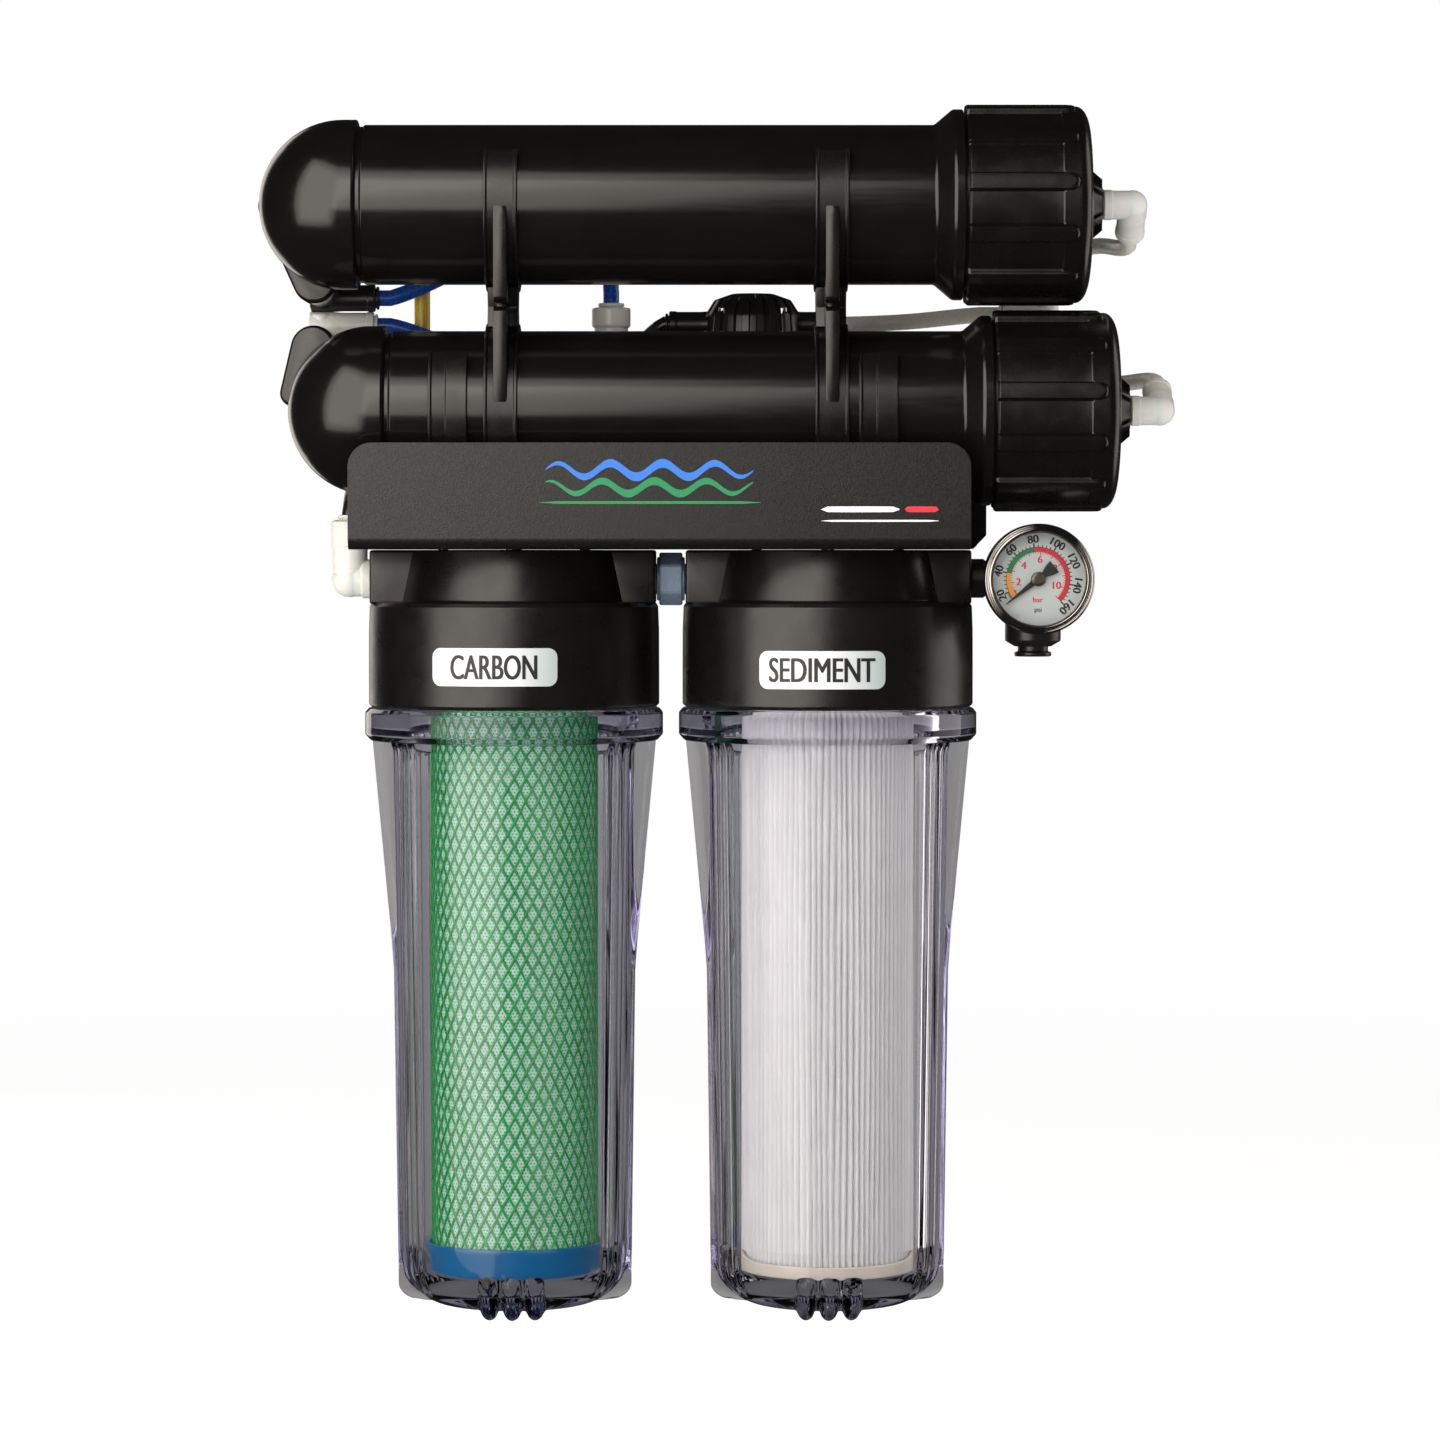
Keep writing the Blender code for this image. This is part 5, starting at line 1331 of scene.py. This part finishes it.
def clip_ring(name, x, z, span, half, look, seam=False):
    """A snap ring with raised edges; the saddle's has a seam round its middle."""
    outline = [
        (31.4, -half), (33.8, -half, 0.35), (33.8, -half + 1.1, 0.35), (33.1, -half + 1.4, 0.2),
    ]
    if seam:
        outline += [(33.1, -0.9, 0.2), (33.75, -0.5, 0.2), (33.75, half, 0.35)]
    else:
        outline += [(33.1, half - 1.5, 0.2), (33.8, half - 1.2, 0.35), (33.8, half, 0.35)]
    outline.append((31.4, half))
    return lathe(name, outline, look, "X", (x, HOUSING_Y, z), count=72, span=span)


def build_clips(looks):
    """Two double clips that hold the housings together, and two saddles that hold the lower one."""
    look = looks["clip"]
    middle = (LOWER_Z + UPPER_Z) / 2
    for side_name, x in zip(("left", "right"), CLIP_XS):
        half, spine = 6.5, 5.3
        parts = [
            clip_ring(f"{side_name}_ring_high", x, UPPER_Z, (144, 396), half, look),
            clip_ring(f"{side_name}_ring_low", x, LOWER_Z, (-36, 216), half, look),
        ]
        waist = [(HOUSING_Y - 9, LOWER_Z + 32.4), (HOUSING_Y - 5.5, middle), (HOUSING_Y - 9, UPPER_Z - 32.4),
                 (HOUSING_Y + 9, UPPER_Z - 32.4), (HOUSING_Y + 5.5, middle), (HOUSING_Y + 9, LOWER_Z + 32.4)]
        parts.append(plate(f"{side_name}_waist", waist, x - half + 0.6, x + half - 0.6, look, "X", 0.5))
        for side in (-1, 1):
            face = HOUSING_Y + side * 33.9
            for way, far in ((1, 34.0), (-1, 33.5)):
                web = [
                    (face, middle + way * far), (face, middle + way * 2.6),
                    (face - side * 3.5, middle + way * 0.8),
                    (HOUSING_Y + side * 5, middle + way * 0.8), (HOUSING_Y + side * 5, middle + way * 9),
                ]
                for angle in range(75, -1, -15):
                    t = math.radians(angle)
                    web.append((HOUSING_Y + side * 32.4 * math.cos(t),
                                middle + way * (40 - 32.4 * math.sin(t))))
                near, far_side = x - spine / 2, x + spine / 2
                parts.append(plate(f"{side_name}_web{side}{way}", web, near, far_side, look, "X", 0.5))
            link = [(HOUSING_Y + side * 4, middle - 1.5), (HOUSING_Y + side * 22, middle - 1.5),
                    (HOUSING_Y + side * 22, middle + 1.5), (HOUSING_Y + side * 4, middle + 1.5)]
            parts.append(plate(f"{side_name}_link{side}", link, x - 1.6, x + 1.6, look, "X", 0.3))
        dress(join(f"{side_name}_housing_clip", parts), "root", "black_plastic", f"{side_name}_double_clip")
    for side_name, x in zip(("left", "right"), SADDLE_XS):
        half, low = 7.5, -18.2
        foot = [
            (HOUSING_Y - 15, low), (HOUSING_Y + 15, low), (HOUSING_Y + 15, low + 4),
            (HOUSING_Y + 10, low + 8),
            (HOUSING_Y + 10, LOWER_Z - 31.6), (HOUSING_Y, LOWER_Z - 32.6), (HOUSING_Y - 10, LOWER_Z - 31.6),
            (HOUSING_Y - 10, low + 8), (HOUSING_Y - 15, low + 4),
        ]
        parts = [
            clip_ring(f"{side_name}_saddle_ring", x, LOWER_Z, (139, 401), half, look, True),
            plate(f"{side_name}_saddle_foot", foot, x - half + 0.6, x + half - 0.6, look, "X", 0.6),
        ]
        dress(join(f"{side_name}_saddle", parts), "root", "black_plastic", f"{side_name}_saddle_clip")


# Gauge --------------------------------------------------------------------------------------------

PSI_PER_BAR = 14.504
# Turn on the dial, in degrees counter-clockwise from its right, against the reading in psi
SCALE = (
    (0, 218.0), (20, 204.0), (40, 168.5), (60, 132.8), (80, 97.4), (100, 60.6), (120, 26.2), (140, -9.9),
    (160, -45.0),
)


def dial_turn(reading):
    """The turn on the dial of a reading in psi."""
    for (low, start), (high, end) in zip(SCALE, SCALE[1:]):
        if reading <= high:
            return start + (end - start) * (reading - low) / (high - low)
    return SCALE[-1][1]


def printed_band(name, inner, outer, start, end, lift, look):
    """A flat printed arc on the dial, between two radii and two turns."""
    mesh = bmesh.new()
    steps = max(2, round(abs(end - start) / 3))
    rows = []
    for step in range(steps + 1):
        turn = math.radians(start + (end - start) * step / steps)
        rows.append([
            mesh.verts.new((r * math.cos(turn), -y, r * math.sin(turn)))
            for r, y in ((inner, lift), (outer, lift), (outer, 0.0), (inner, 0.0))
        ])
    skin(mesh, rows)
    return finish(mesh, name, look, 30)


def printed_tick(name, turn, inner, outer, wide, lift, look):
    half = math.degrees(wide / (inner + outer))
    return printed_band(name, inner, outer, turn - half, turn + half, lift, look)


def spun(obj, turn, radius, upright=False):
    """Puts flat lettering on the dial at this turn and radius, its foot towards the centre unless upright."""
    angle = math.radians(turn)
    spin = Matrix.Identity(4) if upright else Matrix.Rotation(math.radians(90 - turn), 4, "Y")
    where = Vector((radius * math.cos(angle), 0, radius * math.sin(angle))) * MM
    obj.data.transform(Matrix.Translation(where) @ spin)
    return obj


def build_dial(looks):
    """The printed face: a coloured band between a black outer scale and a red inner one."""
    at = Vector(GAUGE)
    face = 31.3
    disc = [(1.3, 30.3), (19.2, 30.3), (19.2, face, 0.1), (1.3, face)]
    parts = [lathe("dial_disc", disc, looks["dial"], "-Y", count=96)]
    black, red = looks["print_black"], looks["print_red"]
    bands = (("amber", 20, 40, "print_amber"), ("green", 40, 80, "print_green"),
             ("red", 80, 160, "print_red"))
    marks = []
    for name, low, high, look in bands:
        start = 215.0 if low == 20 else dial_turn(low)
        marks.append(printed_band(f"band_{name}", 10.5, 12.4, start, dial_turn(high), 0.03, looks[look]))
    for reading in range(0, 161, 4):
        major = reading % 20 == 0
        marks.append(printed_tick(f"tick{reading}", dial_turn(reading), 12.4, 14.0 if major else 13.3,
                                  0.55 if major else 0.36, 0.04, black))
    marks.append(printed_band("outer_line", 12.34, 12.52, SCALE[0][1], SCALE[-1][1], 0.04, black))
    for reading in range(20, 161, 20):
        number = lettering(f"psi{reading}", str(reading), 3.1, black, bold=0.17)
        marks.append(spun(number, dial_turn(reading), 15.6))
    for step in range(0, 56):
        reading = step * 0.2 * PSI_PER_BAR
        if reading > 160:
            break
        major = step % 5 == 0
        marks.append(printed_tick(f"bar{step}", dial_turn(reading), 9.4 if major else 9.9, 10.5,
                                  0.4 if major else 0.26,
                                  0.035, red))
    for value in (2, 4, 6, 8, 10):
        number = lettering(f"bar_number{value}", str(value), 2.8, red, bold=0.14)
        marks.append(spun(number, dial_turn(value * PSI_PER_BAR), 7.7, True))
    marks.append(spun(lettering("bar_word", "bar", 2.1, red, bold=0.08), -90, 8.0, True))
    marks.append(spun(lettering("psi_word", "psi", 2.3, black, bold=0.08), -90, 12.2, True))
    for mark in marks:
        mark.data.transform(Matrix.Translation(Vector((0, -face, 0)) * MM))
    dial = join("gauge_face", parts + marks)
    dial.data.transform(Matrix.Translation(at * MM))
    dress(dial, "root", "dial_white", "gauge_dial")


def build_gauge(looks):
    """The gauge's case, bezel, window, dial and needle."""
    case = lathe("gauge_body", [
        (0, 4), (5, 4), (5, 14), (8, 14, 0.4), (8, 17, 0.3), (19.4, 17, 1.6), (20.5, 18.6, 0.8),
        (20.5, 37, 0.3),
        (19.5, 37), (19.5, 30), (18, 30), (18, 18.5), (0, 18.5),
    ], looks["fitting_black"], "-Y", GAUGE, 96)
    dress(case, "root", "black_plastic", "gauge_case")
    bezel = lathe("gauge_ring", [
        (20.9, 30, 0.2), (21.5, 30, 0.3), (21.5, 39.2, 0.9), (20.8, 40.4, 0.5), (20.0, 39.7, 0.3),
        (19.5, 40.9, 0.4),
        (18.7, 41, 0.4), (18.0, 40.1, 0.3), (17.8, 39.2), (20.9, 39.2),
    ], looks["chrome"], "-Y", GAUGE, 128)
    dress(bezel, "root", "chrome", "gauge_bezel")
    window = lathe("gauge_lens", [(0, 38.8), (20.5, 38.8, 0.1), (20.5, 37.6, 0.1), (0, 37.6)], looks["glass"],
                   "-Y", GAUGE, 96)
    dress(window, "root", "clear_plastic", "gauge_window")
    build_dial(looks)
    build_needle(looks)


def build_needle(looks):
    """The pointer at zero: a tapered blade with a flared tail and a turned hub."""
    front = AXIS_Y - 33.2
    zero = math.radians(SCALE[0][1])
    ahead = Vector((math.cos(zero), 0, math.sin(zero)))
    side = Vector((-ahead.z, 0, ahead.x))
    centre = Vector((GAUGE[0], front, GAUGE[2]))
    shape = [(16.0, 0.16), (8, 0.75), (2.6, 1.1), (0, 1.1), (-2.6, 1.0), (-5.2, 2.2), (-7.9, 2.8)]
    outline = [(along, half) for along, half in shape] + [(along, -half) for along, half in reversed(shape)]
    mesh = bmesh.new()
    rows = []
    for depth in (-0.3, 0.3):
        layer = Vector((0, depth, 0))
        rows.append([mesh.verts.new(centre + ahead * along + side * half + layer) for along, half in outline])
    skin(mesh, rows)
    blade = finish(mesh, "needle_blade", looks["needle"], 30)
    hub = lathe("needle_hub", [
        (0, 24), (0.9, 24), (0.9, 31.9), (2.8, 31.9, 0.1), (2.8, 34.2, 0.3), (1.7, 34.6, 0.3), (0, 34.5),
    ], looks["hub"], "-Y", GAUGE, 64)
    dress(join("needle_pointer", [blade, hub]), "needle", "black_plastic", "gauge_needle")


# Room ---------------------------------------------------------------------------------------------

FLOOR_Z = -402.0


def build_floor():
    """A wide pale floor that fades into the white beyond it."""
    mesh = bmesh.new()
    reach, cells = 7000.0, 14
    places = [reach * (2 * step / cells - 1) for step in range(cells + 1)]
    rows = [[mesh.verts.new((x, y, FLOOR_Z)) for x in places] for y in places]
    for j in range(cells):
        for i in range(cells):
            mesh.faces.new((rows[j][i], rows[j][i + 1], rows[j + 1][i + 1], rows[j + 1][i]))
    data = bpy.data.meshes.new("room_floor")
    mesh.transform(Matrix.Scale(MM, 4))
    mesh.to_mesh(data)
    mesh.free()
    obj = stand("room_floor", data)
    made = Finish("room_floor", (0.45, 0.45, 0.45), 0.9)
    made.mottle(600, 0.01)
    made.set("Specular IOR Level", 0.0)
    parts = made.node("ShaderNodeSeparateXYZ", Vector=made.coords)
    x, y = parts.outputs["X"], parts.outputs["Y"]
    far = made.math("SQRT", made.math("ADD", made.math("MULTIPLY", x, x), made.math("MULTIPLY", y, y)))
    fade = made.ramp(far, 0.0, 1.0, 0.5, 2.4)
    glow = made.node("ShaderNodeEmission", Color=(1.0, 1.0, 1.0, 1.0), Strength=1.0)
    base = made.node("ShaderNodeEmission", Color=(1.0, 1.0, 1.0, 1.0), Strength=0.80)
    mixed = made.tree.nodes.new("ShaderNodeAddShader")
    made.link(made.shader.outputs[0], mixed.inputs[0])
    made.link(base.outputs[0], mixed.inputs[1])
    ends = made.tree.nodes.new("ShaderNodeMixShader")
    made.link(fade, ends.inputs[0])
    made.link(mixed.outputs[0], ends.inputs[1])
    made.link(glow.outputs[0], ends.inputs[2])
    made.link(ends.outputs[0], made.tree.nodes["Material Output"].inputs["Surface"])
    data.materials.append(made.material)
    obj.visible_glossy = False
    obj.visible_transmission = False
    obj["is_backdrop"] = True


def build_world():
    """White where it is seen directly, and a soft grey room where it lights the object."""
    world = bpy.data.worlds.new("studio")
    bpy.context.scene.world = world
    world.use_nodes = True
    tree = world.node_tree
    nodes, links = tree.nodes, tree.links
    nodes.clear()
    coords = nodes.new("ShaderNodeTexCoord")
    parts = nodes.new("ShaderNodeSeparateXYZ")
    links.new(coords.outputs["Generated"], parts.inputs[0])

    def ramp(source, start, end, low, high):
        made = nodes.new("ShaderNodeMapRange")
        links.new(source, made.inputs["Value"])
        for key, value in (("From Min", start), ("From Max", end), ("To Min", low), ("To Max", high)):
            made.inputs[key].default_value = value
        return made.outputs[0]

    level = nodes.new("ShaderNodeMath")
    level.operation = "MULTIPLY"
    links.new(ramp(parts.outputs["Y"], -0.7, 0.6, 0.08, 0.305), level.inputs[0])
    links.new(ramp(parts.outputs["Z"], -0.25, 0.05, 0.45, 1.0), level.inputs[1])
    mirror = ramp(parts.outputs["Z"], -0.3, 0.9, 0.022, 0.012)

    def room(strength):
        made = nodes.new("ShaderNodeBackground")
        made.inputs["Color"].default_value = (1.0, 0.985, 0.96, 1.0)
        if isinstance(strength, float):
            made.inputs["Strength"].default_value = strength
        else:
            links.new(strength, made.inputs["Strength"])
        return made.outputs[0]

    rays = nodes.new("ShaderNodeLightPath")
    seen = room(0.22)
    for way, other in (
        ("Is Glossy Ray", room(mirror)), ("Is Transmission Ray", room(level.outputs[0])),
        ("Is Camera Ray", None),
    ):
        mix = nodes.new("ShaderNodeMixShader")
        links.new(rays.outputs[way], mix.inputs[0])
        links.new(seen, mix.inputs[1])
        if other is None:
            white = nodes.new("ShaderNodeBackground")
            white.inputs["Color"].default_value = (1.0, 1.0, 1.0, 1.0)
            other = white.outputs[0]
        links.new(other, mix.inputs[2])
        seen = mix.outputs[0]
    links.new(seen, nodes.new("ShaderNodeOutputWorld").inputs["Surface"])


def panel(name, place, target, size, power, roll=0.0):
    """A softbox that faces the target and that the camera doesn't see."""
    lamp = bpy.data.lights.new(name, "AREA")
    lamp.shape = "RECTANGLE"
    lamp.size, lamp.size_y = size
    lamp.energy = power
    lamp.color = (1.0, 0.93, 0.86)
    obj = stand(name, lamp)
    away = (Vector(place) - Vector(target)).normalized()
    obj.matrix_world = Matrix.Translation(Vector(place)) @ away.to_track_quat("Z", "Y").to_matrix().to_4x4() \
        @ Matrix.Rotation(math.radians(roll), 4, "Z")
    obj.visible_camera = False
    return obj


def build_lights():
    middle = (0.0, -0.06, -0.05)
    # The key is left of the lens and a little above it.
    # Its height sets where its reflection runs along the tubes.
    away = Vector((-0.588, -0.780, 0.216)) * 1.45
    top = Vector((0.0, -0.06, 0.06))
    panel("key", top + away, top, (1.56, 2.35), 25.7, -10.0)
    panel("key_core", top + away * 0.97, top, (1.1, 1.75), 8.2, -10.0)
    panel("key_right", (-0.17, -1.62, 0.40), top, (0.44, 1.2), 4.3, -10.0)
    panel("side", (1.25, 0.25, 0.05), middle, (0.8, 1.6), 6.0)
    # The fill lights cloth and white plastic without showing in the black ones
    panel("fill", (0.8, -1.4, 0.1), middle, (0.9, 1.3), 5.5).visible_glossy = False
    panel("rear", (-0.75, 1.2, 0.15), middle, (0.5, 1.3), 3.0).visible_transmission = False


def build_camera():
    lens = bpy.data.cameras.new("front")
    lens.lens, lens.sensor_width = 124.93, 36.0
    lens.clip_start, lens.clip_end = 0.05, 60.0
    obj = stand("front", lens)
    obj.location = (0.01798, -2.0360, -0.0156)
    obj.rotation_euler = (math.radians(90 - 2.085), 0.0, math.radians(-0.041))
    bpy.context.scene.camera = obj
    bpy.context.scene.view_settings.view_transform = "Standard"


def main():
    looks = build_finishes()
    build_bracket(looks)
    build_screws(looks)
    for name, centre_x in (("carbon", -FILTER_X), ("sediment", FILTER_X)):
        build_head(name, centre_x, looks)
        build_bowl(name, centre_x, looks)
    build_stickers(looks)
    build_carbon_cartridge(looks)
    build_sediment_cartridge(looks)
    build_nipple(looks)
    build_inlet(looks)
    build_gauge(looks)
    build_carbon_outlet(looks)
    build_housings(looks)
    build_clips(looks)
    build_feed_side(looks)
    build_valve(looks)
    build_product_side(looks)
    build_reject_side(looks)
    build_floor()
    build_world()
    build_lights()
    build_camera()
    sizes = {
        name: [list(corner) for corner in box] for name,
        box in (("at_load", AT_LOAD), ("at_end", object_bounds()))
    }


main()
